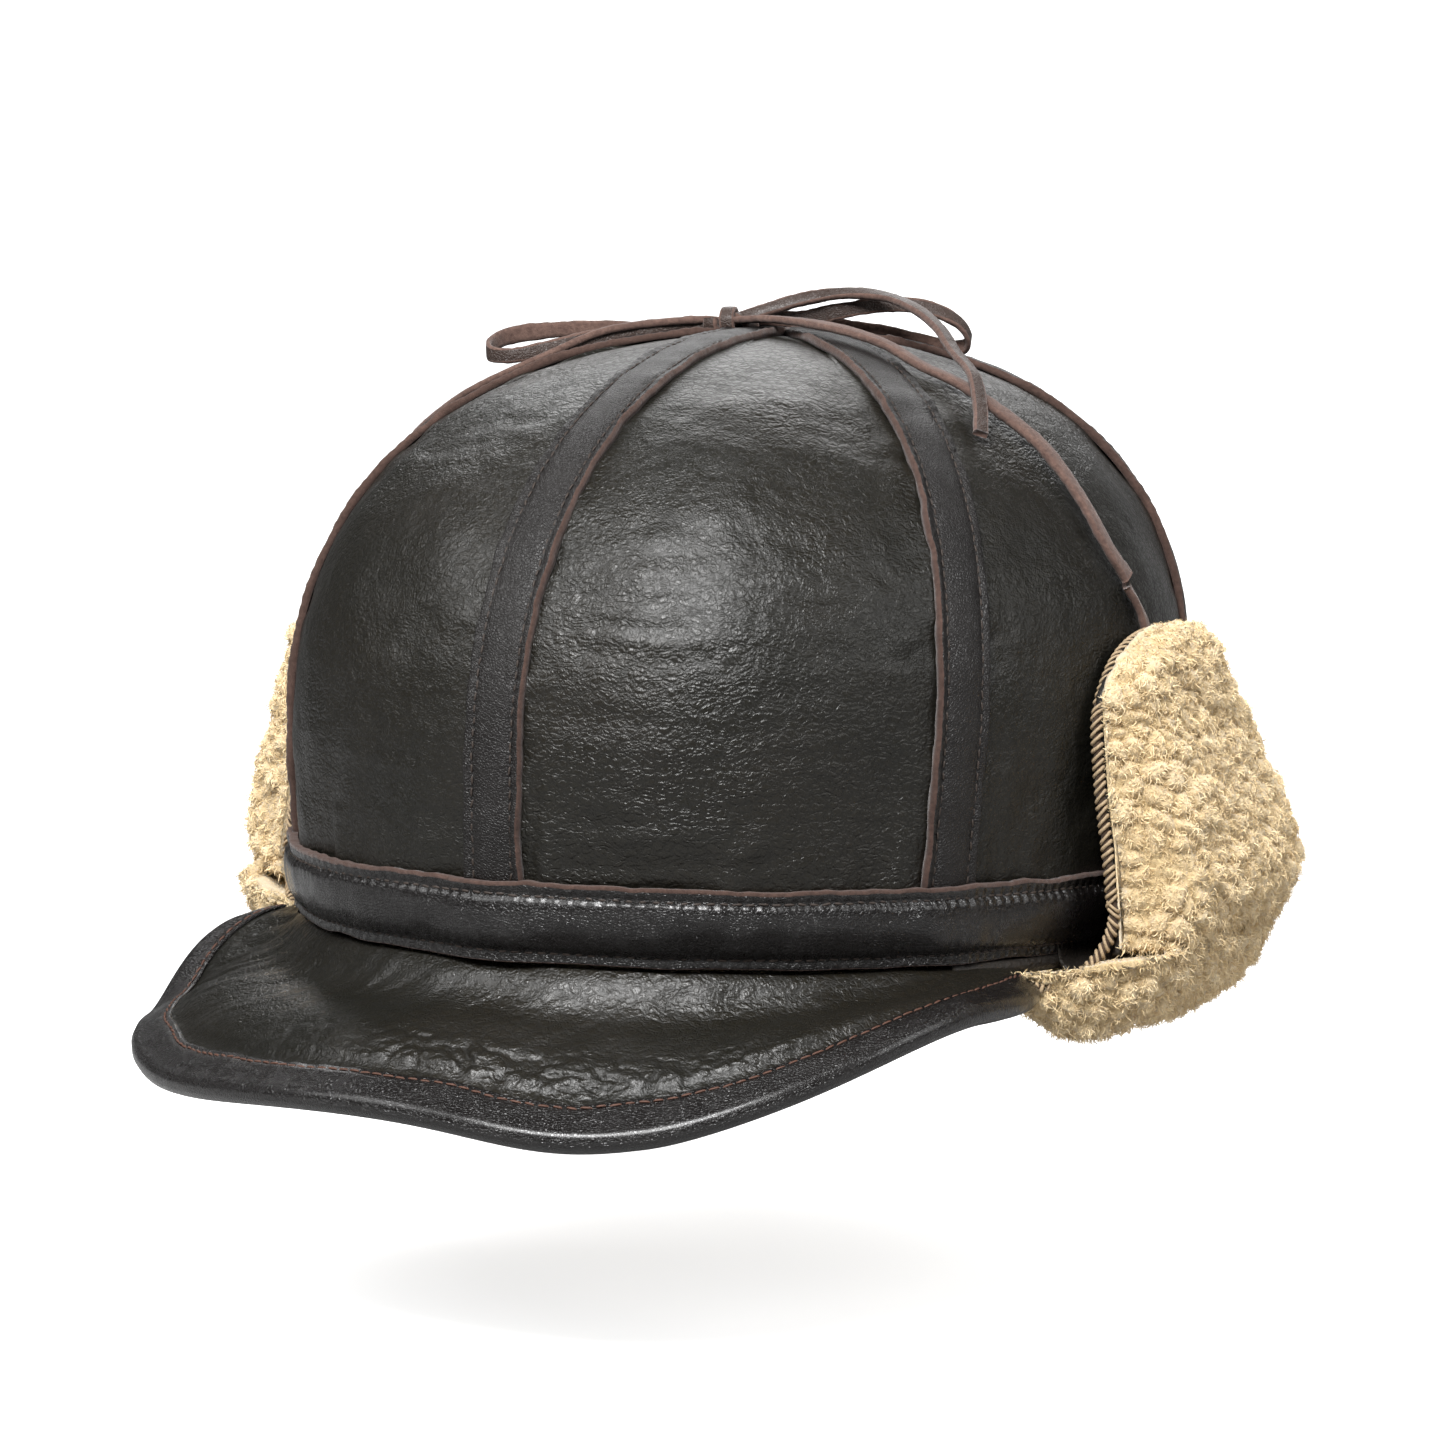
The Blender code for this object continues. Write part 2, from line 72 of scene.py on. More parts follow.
CY, SY = math.cos(AXIS_YAW), math.sin(AXIS_YAW)
HEART = np.array([0.0, 8.0, 62.0])
SHIFT = np.array([0.0, 7.51, 35.94])    # shapes are drawn from the centre of the head opening; the frame's origin is here


# ---- noise -------------------------------------------------------------------
def _hash(ix, iy, iz, seed):
    h = (ix * 374761393 + iy * 668265263 + iz * 1442695041 + seed * 974634777) & 0xFFFFFFFF
    h = ((h ^ (h >> 13)) * 1274126177) & 0xFFFFFFFF
    h = h ^ (h >> 16)
    return h / 2147483647.5 - 1.0


def noise(p, seed=0):
    p = np.asarray(p, float)
    i = np.floor(p).astype(np.int64)
    f = p - i
    f = f * f * f * (f * (f * 6 - 15) + 10)
    x, y, z = i[..., 0], i[..., 1], i[..., 2]
    out = 0.0
    for dx in (0, 1):
        wx = f[..., 0] if dx else 1 - f[..., 0]
        for dy in (0, 1):
            wy = f[..., 1] if dy else 1 - f[..., 1]
            for dz in (0, 1):
                wz = f[..., 2] if dz else 1 - f[..., 2]
                out = out + wx * wy * wz * _hash(x + dx, y + dy, z + dz, seed)
    return out


def fbm(p, octaves=3, seed=0):
    out, amp, tot = 0.0, 1.0, 0.0
    for k in range(octaves):
        out = out + amp * noise(p * (2.03 ** k) + 7.1 * k, seed + k)
        tot += amp
        amp *= 0.5
    return out / tot


def ridge(p, octaves=1, seed=0):
    """Narrow valleys at 0, plateaus near 1."""
    out, amp, tot = 0.0, 1.0, 0.0
    for k in range(octaves):
        out = out + amp * np.abs(noise(p * (2.0 ** k) + 3.3 * k, seed + k))
        tot += amp
        amp *= 0.5
    return np.clip(out / tot * 2.2, 0, 1)


def smooth(a, b, x):
    k = np.clip((np.asarray(x, float) - a) / (b - a), 0, 1)
    return k * k * (3 - 2 * k)


def norm(v):
    return v / np.maximum(np.linalg.norm(v, axis=-1, keepdims=True), 1e-12)


# ---- crown surface -----------------------------------------------------------
def section(phi, t=0.0):
    return 1.0 / np.hypot(np.sin(phi) / (HALF_WIDTH - t), np.cos(phi) / (HALF_LENGTH - t))


def profile(z, t=0.0):
    top = CROWN_HEIGHT - t
    k = np.clip((z - WIDEST_Z) / (top - WIDEST_Z), 0, 1)
    up = np.maximum(0.0, 1 - k ** CROWN_POWER) ** (1 / CROWN_POWER)
    low = 1 - RIM_TAPER * (np.clip(WIDEST_Z - z, 0, None) / WIDEST_Z) ** 1.5
    return np.where(z > WIDEST_Z, up, low)


def centre_y(z):
    return POLE_SHIFT * (np.clip(z, 0, CROWN_HEIGHT) / CROWN_HEIGHT) ** 2.2


def seam_split(phi):
    """(fraction across the gore, angle to the nearest seam in radians)."""
    a = np.abs((np.asarray(phi) + pi) % (2 * pi) - pi)
    k = np.zeros_like(a)
    for lo, hi in zip(SEAMS, SEAMS[1:]):
        m = (a >= lo) & (a <= hi)
        k = np.where(m, (a - lo) / (hi - lo), k)
    d = np.min(np.abs(a[..., None] - SEAMS), axis=-1)
    return k, d


def crown_radius(phi, z, t=0.0):
    f = profile(z, t)
    k, _ = seam_split(phi)
    return section(phi, t) * f + GORE_PUFF * np.sin(pi * k) ** 2 * np.minimum(1, 1.5 * f) * np.clip(z / 14.0, 0, 1)


def crown_point(phi, z, t=0.0):
    r = crown_radius(phi, z, t)
    return np.stack([r * np.sin(phi), centre_y(z) - r * np.cos(phi), z + 0 * r], -1)


def crown_z(s, t=0.0):
    top = CROWN_HEIGHT - t
    s = np.asarray(s, float)
    up = WIDEST_Z + (top - WIDEST_Z) * np.sin(np.radians(89.0) * np.clip((s - 0.3) / 0.7, 0, 1)) ** (2 / CROWN_POWER)
    return np.where(s < 0.3, WIDEST_Z * s / 0.3, up)


def drape(p, t=0.0):
    """Slide points along the ray from the middle of the crown to the crown's skin."""
    d = norm(np.asarray(p, float) - HEART)
    lo = np.full(d.shape[:-1], 20.0)
    hi = np.full(d.shape[:-1], 190.0)
    for _ in range(30):
        mid = 0.5 * (lo + hi)
        q = HEART + d * mid[..., None]
        z = q[..., 2]
        y = q[..., 1] - centre_y(z)
        out = np.hypot(q[..., 0], y) > crown_radius(np.arctan2(q[..., 0], -y), np.minimum(z, CROWN_HEIGHT - t), t)
        out |= z >= CROWN_HEIGHT - t
        hi = np.where(out, mid, hi)
        lo = np.where(out, lo, mid)
    return HEART + d * lo[..., None]


def outward(p):
    """Unit normal of the crown near p, by finite differences of the draped surface."""
    p = np.asarray(p, float)
    d = norm(p - HEART)
    a = norm(np.cross(d, np.array([0.13, 0.27, 0.95])))
    b = np.cross(d, a)
    e = 1.5
    q0, q1 = drape(p + a * e), drape(p - a * e)
    r0, r1 = drape(p + b * e), drape(p - b * e)
    n = norm(np.cross(q0 - q1, r0 - r1))
    s = np.sign(np.sum(n * d, -1, keepdims=True))
    return n * np.where(s == 0, 1, s)


# ---- meshes ------------------------------------------------------------------
def new_mesh(name, verts, faces, mats, index=None, smooth_shade=True, colour=None):
    """verts in mm; faces an (n, 3) or (n, 4) array, or a list of such arrays."""
    verts = ((np.asarray(verts, float).reshape(-1, 3) + SHIFT) * MM).astype(np.float32)
    parts = faces if isinstance(faces, list) else [faces]
    parts = [np.asarray(f, np.int32) for f in parts if len(f)]
    me = bpy.data.meshes.new(name)
    me.vertices.add(len(verts))
    me.vertices.foreach_set("co", verts.ravel())
    loops = np.concatenate([f.ravel() for f in parts])
    sizes = np.concatenate([np.full(len(f), f.shape[1], np.int32) for f in parts])
    me.loops.add(len(loops))
    me.loops.foreach_set("vertex_index", loops)
    me.polygons.add(len(sizes))
    me.polygons.foreach_set("loop_start", np.concatenate([[0], np.cumsum(sizes)[:-1]]).astype(np.int32))
    if index is not None:
        me.polygons.foreach_set("material_index", np.asarray(index, np.int32))
    me.update(calc_edges=True)
    me.validate()
    me.polygons.foreach_set("use_smooth", np.full(len(me.polygons), smooth_shade))
    for m in mats:
        me.materials.append(m)
    if colour is not None:
        at = me.color_attributes.new("tint", "FLOAT_COLOR", "POINT")
        c = np.ones((len(verts), 4), np.float32)
        c[:, :colour.shape[1]] = colour
        at.data.foreach_set("color", c.ravel())
    ob = bpy.data.objects.new(name, me)
    bpy.context.scene.collection.objects.link(ob)
    return ob


def grid_quads(nu, nv, wrap_u=False, wrap_v=False, offset=0, flip=False):
    iu = np.arange(nu if wrap_u else nu - 1)
    iv = np.arange(nv if wrap_v else nv - 1)
    a, b = np.meshgrid(iu, iv, indexing="ij")
    a1, b1 = (a + 1) % nu, (b + 1) % nv
    q = np.stack([a * nv + b, a1 * nv + b, a1 * nv + b1, a * nv + b1], -1).reshape(-1, 4) + offset
    return q[:, ::-1] if flip else q


def grid_normals(p, wrap_u=False, wrap_v=False):
    def diff(q, axis, wrap):
        if wrap:
            return np.roll(q, -1, axis) - np.roll(q, 1, axis)
        return np.gradient(q, axis=axis)
    return norm(np.cross(diff(p, 0, wrap_u), diff(p, 1, wrap_v)))


def shell(name, outer, inner, mats, index=None):
    """A closed sheet from two matching (nu, nv, 3) grids."""
    nu, nv = outer.shape[:2]
    n = nu * nv
    verts = np.concatenate([outer.reshape(-1, 3), inner.reshape(-1, 3)])
    g = np.arange(n).reshape(nu, nv)
    loop = np.concatenate([g[:, 0], g[-1, 1:], g[-2::-1, -1], g[0, -2:0:-1]])
    nxt = np.roll(loop, -1)
    sides = np.stack([loop, loop + n, nxt + n, nxt], -1)
    return new_mesh(name, verts, [grid_quads(nu, nv), grid_quads(nu, nv, offset=n, flip=True), sides], mats, index)


def sweep(name, path, side, up, section_xy, mats, seg_mat=None, closed=False, cap=True, scale=None):
    """Loft a closed cross-section, points (across, height) in mm, along path. side and up are unit vectors per point."""
    n, m = len(path), len(section_xy)
    sec = np.asarray(section_xy, float)
    if sec.ndim == 2:
        sec = np.broadcast_to(sec, (n, m, 2))
    else:
        m = sec.shape[1]
    if scale is not None:
        sec = sec * np.asarray(scale)[:, None, None]
    p = path[:, None, :] + side[:, None, :] * sec[..., :1] + up[:, None, :] * sec[..., 1:]
    q = grid_quads(n, m, wrap_u=closed, wrap_v=True)
    verts = p.reshape(-1, 3)
    idx = None
    if seg_mat is not None:
        idx = np.tile(np.asarray(seg_mat, np.int32), n if closed else n - 1)
    faces = [q]
    if cap and not closed:
        c0, c1 = p[0].mean(0), p[-1].mean(0)
        verts = np.concatenate([verts, [c0, c1]])
        k = np.arange(m)
        k1 = (k + 1) % m
        base = n * m
        faces.append(np.stack([np.full(m, base), k1, k], -1))
        faces.append(np.stack([np.full(m, base + 1), (n - 1) * m + k, (n - 1) * m + k1], -1))
        if idx is not None:
            idx = np.concatenate([idx, np.full(2 * m, idx.max() if idx.max() > 0 else 0)])
    ob = new_mesh(name, verts, faces, mats, idx)
    fix_normals(ob)
    return ob


def fix_normals(ob):
    """Turn a closed mesh right side out."""
    me = ob.data
    n = len(me.vertices)
    co = np.empty(n * 3, np.float32)
    me.vertices.foreach_get("co", co)
    co = co.reshape(-1, 3).astype(float)
    me.calc_loop_triangles()
    t = np.empty(len(me.loop_triangles) * 3, np.int32)
    me.loop_triangles.foreach_get("vertices", t)
    t = t.reshape(-1, 3)
    vol = np.sum(co[t[:, 0]] * np.cross(co[t[:, 1]], co[t[:, 2]]))
    if vol < 0:
        me.flip_normals()


def spline(points, count):
    p = np.asarray(points, float)
    p = np.concatenate([[2 * p[0] - p[1]], p, [2 * p[-1] - p[-2]]])
    out = []
    for i in range(1, len(p) - 2):
        k = np.arange(16)[:, None] / 16.0
        a, b, c, d = p[i - 1], p[i], p[i + 1], p[i + 2]
        out.append(0.5 * (2 * b + (c - a) * k + (2 * a - 5 * b + 4 * c - d) * k * k + (3 * b - a - 3 * c + d) * k ** 3))
    out.append(p[-2][None])
    q = np.concatenate(out)
    run = np.concatenate([[0], np.cumsum(np.linalg.norm(np.diff(q[:, :3], axis=0), axis=1))])
    at = np.linspace(0, run[-1], count)
    return np.stack([np.interp(at, run, q[:, i]) for i in range(q.shape[1])], 1)


def resample(path, step):
    seg = np.linalg.norm(np.diff(path, axis=0), axis=1)
    run = np.concatenate([[0], np.cumsum(seg)])
    n = max(2, int(round(run[-1] / step)) + 1)
    at = np.linspace(0, run[-1], n)
    return np.stack([np.interp(at, run, path[:, i]) for i in range(path.shape[1])], 1), at


def tangents(path, closed=False):
    if closed:
        return norm(np.roll(path, -1, 0) - np.roll(path, 1, 0))
    return norm(np.gradient(path, axis=0))


def stitches(name, pos, tan, up, mat, length=2.2, width=0.62, height=0.42, jitter=0.25, seed=1):
    """Short thread capsules centred at pos, lying along tan, their crown toward up."""
    rng = np.random.default_rng(seed)
    n = len(pos)
    side = norm(np.cross(tan, up))
    tan = norm(tan + side * rng.normal(0, 0.10, (n, 1)))
    side = norm(np.cross(tan, up))
    pos = pos + side * rng.normal(0, jitter * 0.3, (n, 1))
    ls = length * (1 + rng.normal(0, 0.08, n))
    along = np.array([-0.5, -0.42, -0.2, 0.2, 0.42, 0.5])
    fat = np.array([0.15, 0.75, 1.0, 1.0, 0.75, 0.15])
    sink = np.array([-0.5, -0.12, 0.0, 0.0, -0.12, -0.5])
    ring = np.arange(7) * 2 * pi / 7
    v = (pos[:, None, None, :] + tan[:, None, None, :] * (along[None, :, None, None] * ls[:, None, None, None])
         + side[:, None, None, :] * (fat[None, :, None] * np.cos(ring)[None, None, :] * width * 0.5)[..., None]
         + up[:, None, None, :] * (fat[None, :, None] * np.sin(ring)[None, None, :] * height * 0.5 + sink[None, :, None] * height)[..., None])
    m, k = len(along), len(ring)
    base = grid_quads(m, k, wrap_v=True)
    faces = (base[None] + (np.arange(n) * m * k)[:, None, None]).reshape(-1, 4)
    c0 = np.arange(k)[None, ::-1] + (np.arange(n) * m * k)[:, None]
    c1 = np.arange(k)[None, :] + (np.arange(n) * m * k)[:, None] + (m - 1) * k
    return new_mesh(name, v.reshape(-1, 3), [faces, c0, c1], [mat])


# ---- materials ---------------------------------------------------------------
class Nodes:
    def __init__(self, name):
        self.m = bpy.data.materials.new(name)
        self.m.use_nodes = True
        self.t = self.m.node_tree
        self.b = self.t.nodes["Principled BSDF"]
        self.coord = self.t.nodes.new("ShaderNodeTexCoord").outputs["Object"]

    def link(self, a, b):
        self.t.links.new(a, b)

    def add(self, kind, **inputs):
        n = self.t.nodes.new(kind)
        for k, v in inputs.items():
            if k in ("operation", "blend_type", "data_type", "feature", "distance", "noise_dimensions", "voronoi_dimensions", "vector_type", "wave_type", "bands_direction", "layer_name"):
                setattr(n, k, v)
        return n

    def noise(self, scale, detail=4, rough=0.55, vec=None, distortion=0.0):
        n = self.t.nodes.new("ShaderNodeTexNoise")
        self.link(vec or self.coord, n.inputs["Vector"])
        n.inputs["Scale"].default_value = scale
        n.inputs["Detail"].default_value = detail
        n.inputs["Roughness"].default_value = rough
        n.inputs["Distortion"].default_value = distortion
        return n.outputs["Fac"], n.outputs["Color"]

    def voronoi(self, scale, feature="F1", vec=None, randomness=1.0):
        n = self.t.nodes.new("ShaderNodeTexVoronoi")
        n.feature = feature
        self.link(vec or self.coord, n.inputs["Vector"])
        n.inputs["Scale"].default_value = scale
        n.inputs["Randomness"].default_value = randomness
        return n.outputs["Distance"]

    def scaled(self, s, vec=None):
        n = self.t.nodes.new("ShaderNodeMapping")
        self.link(vec or self.coord, n.inputs["Vector"])
        n.inputs["Scale"].default_value = s
        return n.outputs["Vector"]

    def warped(self, scale, amount, vec=None):
        """Coordinates pushed about by noise of this scale, by amount metres."""
        _, c = self.noise(scale, 3, 0.5, vec)
        sub = self.t.nodes.new("ShaderNodeVectorMath")
        sub.operation = "SUBTRACT"
        self.link(c, sub.inputs[0])
        sub.inputs[1].default_value = (0.5, 0.5, 0.5)
        mul = self.t.nodes.new("ShaderNodeVectorMath")
        mul.operation = "MULTIPLY_ADD"
        self.link(sub.outputs[0], mul.inputs[0])
        mul.inputs[1].default_value = (amount, amount, amount)
        self.link(vec or self.coord, mul.inputs[2])
        return mul.outputs[0]

    def range(self, x, a, b, c=0.0, d=1.0, kind="LINEAR"):
        n = self.t.nodes.new("ShaderNodeMapRange")
        n.interpolation_type = kind
        self.link(x, n.inputs["Value"])
        for k, v in zip(("From Min", "From Max", "To Min", "To Max"), (a, b, c, d)):
            n.inputs[k].default_value = v
        return n.outputs["Result"]

    def math(self, op, a, b=0.0):
        n = self.t.nodes.new("ShaderNodeMath")
        n.operation = op
        for i, x in enumerate((a, b)):
            if isinstance(x, (int, float)):
                n.inputs[i].default_value = x
            else:
                self.link(x, n.inputs[i])
        return n.outputs[0]

    def mix(self, fac, a, b, blend="MIX"):
        n = self.t.nodes.new("ShaderNodeMix")
        n.data_type = "RGBA"
        n.blend_type = blend
        if isinstance(fac, (int, float)):
            n.inputs["Factor"].default_value = fac
        else:
            self.link(fac, n.inputs["Factor"])
        for key, x in (("A", a), ("B", b)):
            s = [i for i in n.inputs if i.name == key and i.type == "RGBA"][0]
            if isinstance(x, (tuple, list)):
                s.default_value = (*x[:3], 1.0)
            else:
                self.link(x, s)
        return [o for o in n.outputs if o.type == "RGBA"][0]

    def bump(self, height, distance, strength=1.0, normal=None):
        n = self.t.nodes.new("ShaderNodeBump")
        n.inputs["Distance"].default_value = distance
        n.inputs["Strength"].default_value = strength
        self.link(height, n.inputs["Height"])
        if normal is not None:
            self.link(normal, n.inputs["Normal"])
        return n.outputs["Normal"]

    def attribute(self, name):
        n = self.t.nodes.new("ShaderNodeAttribute")
        n.attribute_name = name
        return n.outputs["Color"]

    def finish(self, colour=None, rough=None, normal=None, **values):
        for key, x in (("Base Color", colour), ("Roughness", rough), ("Normal", normal)):
            if x is None:
                continue
            if isinstance(x, (int, float)):
                self.b.inputs[key].default_value = x
            elif isinstance(x, (tuple, list)):
                self.b.inputs[key].default_value = (*x[:3], 1.0)
            else:
                self.link(x, self.b.inputs[key])
        for key, x in values.items():
            self.b.inputs[key.replace("_", " ")].default_value = x
        return self.m


def grained_leather(name, base, warm, crease=0.5, rough=(0.28, 0.42), size=1.0):
    """Waxed shearling skin: wrinkled pebble grain, uneven polish."""
    n = Nodes(name)
    w = n.warped(150 / size, 0.0034 * size)
    w2 = n.warped(480 / size, 0.0011 * size, w)
    stretched = n.scaled((0.72, 0.72, 1.35), w2)
    net = n.voronoi(560 / size, "DISTANCE_TO_EDGE", stretched)
    net = n.range(net, 0.0, 0.30, 0.0, 1.0, "SMOOTHSTEP")
    fine = n.voronoi(1250 / size, "DISTANCE_TO_EDGE", w2)
    fine = n.range(fine, 0.0, 0.30, 0.0, 1.0, "SMOOTHSTEP")
    soft, _ = n.noise(75 / size, 4, 0.55)
    mid, _ = n.noise(330 / size, 4, 0.65, w)
    area, _ = n.noise(24 / size, 2, 0.5)
    area = n.range(area, 0.36, 0.60, 0.30, 1.0)
    h = n.math("MULTIPLY", n.math("MULTIPLY", net, area), 0.55 * crease)
    h = n.math("ADD", h, n.math("MULTIPLY", fine, 0.12))
    h = n.math("ADD", h, n.math("MULTIPLY", mid, 0.85))
    nrm = n.bump(soft, 0.0022, 0.55)
    nrm = n.bump(h, 0.00055, 0.80, nrm)
    tone, _ = n.noise(16 / size, 4, 0.6)
    col = n.mix(n.range(tone, 0.35, 0.65), base, warm)
    # painted shade: the colour darkens toward 0.35 of the base along the lines of the crease network, which the bump
    # sinks
    dark = n.mix(n.range(net, 0.0, 0.6, 0.40, 0.0), col, tuple(c * 0.35 for c in base))
    r, _ = n.noise(55 / size, 4, 0.6)
    r = n.range(r, 0.3, 0.7, rough[0], rough[1])
    r = n.math("ADD", r, n.range(net, 0.0, 0.5, 0.12, 0.0))
    return n.finish(dark, r, nrm, Specular_IOR_Level=0.30, Coat_Weight=0.07, Coat_Roughness=0.28)


def smooth_leather(name, base, rough=0.40, coat=0.12):
    """Smooth nappa: fine pores, faint creases."""
    n = Nodes(name)
    w = n.warped(700, 0.0006)
    pores = n.range(n.voronoi(1500, "DISTANCE_TO_EDGE", w), 0.0, 0.25, 0.0, 1.0, "SMOOTHSTEP")
    mid, _ = n.noise(300, 4, 0.6)
    soft, _ = n.noise(90, 3, 0.5)
    h = n.math("ADD", n.math("MULTIPLY", pores, 0.40), n.math("MULTIPLY", mid, 0.60))
    nrm = n.bump(soft, 0.0012, 0.45)
    nrm = n.bump(h, 0.00034, 0.8, nrm)
    tone, _ = n.noise(60, 3, 0.6)
    col = n.mix(n.range(tone, 0.3, 0.7), base, tuple(c * 1.35 for c in base))
    r, _ = n.noise(120, 3, 0.6)
    return n.finish(col, n.range(r, 0.3, 0.7, rough - 0.06, rough + 0.08), nrm,
                    Specular_IOR_Level=0.36, Coat_Weight=coat, Coat_Roughness=0.22)


def raw_edge(name, light, dark):
    """Cut flesh side of leather: fibrous, matt."""
    n = Nodes(name)
    f, _ = n.noise(900, 5, 0.7)
    g, _ = n.noise(140, 3, 0.6)
    col = n.mix(n.range(f, 0.3, 0.7), dark, light)
    col = n.mix(n.range(g, 0.3, 0.7, 0.0, 0.5), col, dark)
    return n.finish(col, 0.88, n.bump(f, 0.0004, 0.7), Specular_IOR_Level=0.2, Sheen_Weight=0.15, Sheen_Roughness=0.5)


def thread(name, colour):
    n = Nodes(name)
    f, _ = n.noise(2600, 3, 0.6)
    col = n.mix(n.range(f, 0.3, 0.7), colour, tuple(c * 1.8 + 0.004 for c in colour))
    return n.finish(col, 0.62, n.bump(f, 0.0001, 0.7), Specular_IOR_Level=0.3)


def wool_material(name):
    """Fibre colour comes from the tint laid on by code, which carries painted shade in the creases of the fleece,
    broken up by noise.
    """
    n = Nodes(name)
    t = n.attribute("tint")
    f, _ = n.noise(420, 3, 0.6)
    g, _ = n.noise(70, 3, 0.6)
    col = n.mix(n.range(f, 0.3, 0.7, 0.0, 0.35), t, (0.86, 0.72, 0.48), "MIX")
    col = n.mix(n.range(g, 0.35, 0.7, 0.25, 0.0), col, (0.50, 0.35, 0.17), "MIX")
    return n.finish(col, 0.82, None, Specular_IOR_Level=0.22, Sheen_Weight=0.35, Sheen_Roughness=0.45,
                    Subsurface_Weight=0.0)


def fleece_material(name):
    """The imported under-wool seen between the locks."""
    n = Nodes(name)
    f, _ = n.noise(500, 5, 0.7)
    g, _ = n.noise(120, 4, 0.6)
    v = n.voronoi(240, "F1")
    col = n.mix(n.range(g, 0.3, 0.7), (0.30, 0.18, 0.065), (0.60, 0.43, 0.20))
    # painted shade: lighter toward each Voronoi cell's centre, which the bump raises, and darker toward its edges,
    # which the bump sinks
    col = n.mix(n.range(v, 0.0, 0.7, 0.45, 0.0), col, (0.72, 0.54, 0.29))
    h = n.math("ADD", n.math("MULTIPLY", f, 0.6), n.math("MULTIPLY", v, -0.7))
    return n.finish(col, 0.92, n.bump(h, 0.0022, 0.8), Specular_IOR_Level=0.15, Sheen_Weight=0.4, Sheen_Roughness=0.5)


def pile_material(name):
    """Nubby wool surface: tint laid on by code, with its painted shade darkening the creases, woolly bump."""
    n = Nodes(name)
    t = n.attribute("tint")
    w = n.warped(300, 0.0016)
    f, _ = n.noise(1300, 4, 0.7, w)
    g, _ = n.noise(90, 3, 0.6)
    col = n.mix(n.range(f, 0.30, 0.72, 0.40, 0.0), t, (0.34, 0.225, 0.095), "MIX")
    col = n.mix(n.range(g, 0.35, 0.7, 0.22, 0.0), col, (0.52, 0.37, 0.18), "MIX")
    h, _ = n.noise(620, 5, 0.75, w)
    return n.finish(col, 0.95, n.bump(h, 0.0016, 0.85), Specular_IOR_Level=0.12, Sheen_Weight=0.5, Sheen_Roughness=0.5)


def suede(name, base):
    n = Nodes(name)
    f, _ = n.noise(700, 5, 0.7)
    g, _ = n.noise(45, 3, 0.6)
    col = n.mix(n.range(g, 0.3, 0.7), base, tuple(c * 1.7 for c in base))
    return n.finish(col, 0.86, n.bump(f, 0.0003, 0.5), Specular_IOR_Level=0.2, Sheen_Weight=0.1)


OLIVE, OLIVE_WARM = (0.0066, 0.0062, 0.0044), (0.0098, 0.0082, 0.0056)
M_CROWN = grained_leather("crown_leather", OLIVE, OLIVE_WARM)
M_BILL = grained_leather("bill_leather", OLIVE, OLIVE_WARM, crease=0.45, rough=(0.25, 0.40), size=1.2)
M_HIDE = grained_leather("flap_leather", (0.0150, 0.0128, 0.0105), (0.020, 0.016, 0.013), rough=(0.38, 0.58))
M_TAPE = smooth_leather("tape_leather", (0.0050, 0.0040, 0.0037), 0.46, 0.0)
M_BAND = smooth_leather("band_leather", (0.0045, 0.0037, 0.0035), 0.25, 0.30)
M_EDGE = raw_edge("cut_edge", (0.080, 0.046, 0.036), (0.030, 0.016, 0.012))
M_BEAD = raw_edge("overcast_edge_hide", (0.085, 0.055, 0.034), (0.030, 0.018, 0.012))
M_WHIP = thread("whip_thread_tan", (0.225, 0.165, 0.100))
M_PILE = pile_material("nubby_pile")
M_LACE_RAW = raw_edge("lace_flesh_side", (0.140, 0.086, 0.068), (0.055, 0.031, 0.025))
M_LACE = smooth_leather("lace_grain_side", (0.030, 0.019, 0.015), 0.45, 0.06)
M_THREAD = thread("thread_black_brown", (0.020, 0.014, 0.011))
M_THREAD_BROWN = thread("thread_brown", (0.050, 0.022, 0.014))
M_WOOL = wool_material("wool_pile")
M_FLEECE = fleece_material("fleece_core")
M_UNDER = suede("bill_under_skin", (0.018, 0.014, 0.011))


def carry(piece, body, *nodes, slot=None):
    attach(piece, body)
    if nodes:
        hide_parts(*nodes)
    return piece


# ---- crown gores -------------------------------------------------------------
GORES = (("front_left", 0, 1), ("side_left", 1, 1), ("rear_left", 2, 1),
         ("front_right", 0, -1), ("side_right", 1, -1), ("rear_right", 2, -1))
NU, NV = ((150, 190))


def crown_wave(phi, z, p, seed):
    """How far the worn leather stands off the smooth crown (mm)."""
    _, d = seam_split(phi)
    r = np.hypot(p[..., 0], p[..., 1] - centre_y(z))
    dist = d * np.maximum(r, 1.0)
    k = np.sin(pi * seam_split(phi)[0])
    arc = phi * 100.0
    out = 1.25 * fbm(p / 36.0, 2, seed) * smooth(4, 26, dist)
    out = out + 0.40 * fbm(p / 13.0, 3, seed + 5) * smooth(4, 16, dist)
    # puckers that run away from the seams
    lane = np.stack([z / 5.2 + 0.8 * noise(p / 17.0, seed + 9), dist / 22.0, arc * 0 + 3.0 * np.sign(phi) + np.round(phi * 2)], -1)
    out = out + 0.62 * noise(lane, seed + 11) * np.exp(-np.clip(dist - 7.0, 0, None) / 8.0) * smooth(10, 30, z)
    # gathers above the band
    pleat = np.stack([arc / 6.5 + 1.2 * noise(p / 20.0, seed + 13), z / 26.0, 0 * z + 4.0], -1)
    out = out + 1.5 * noise(pleat, seed + 17) * np.exp(-np.clip(z - 14.0, 0, None) / 15.0) * smooth(3, 10, dist)
    # drag lines across the panel
    drag = np.stack([arc / 26.0, z / 3.1 + 1.6 * noise(p / 24.0, seed + 21), p[..., 1] / 40.0], -1)
    out = out + 0.22 * noise(drag, seed + 23) * smooth(8, 24, dist)
    return out


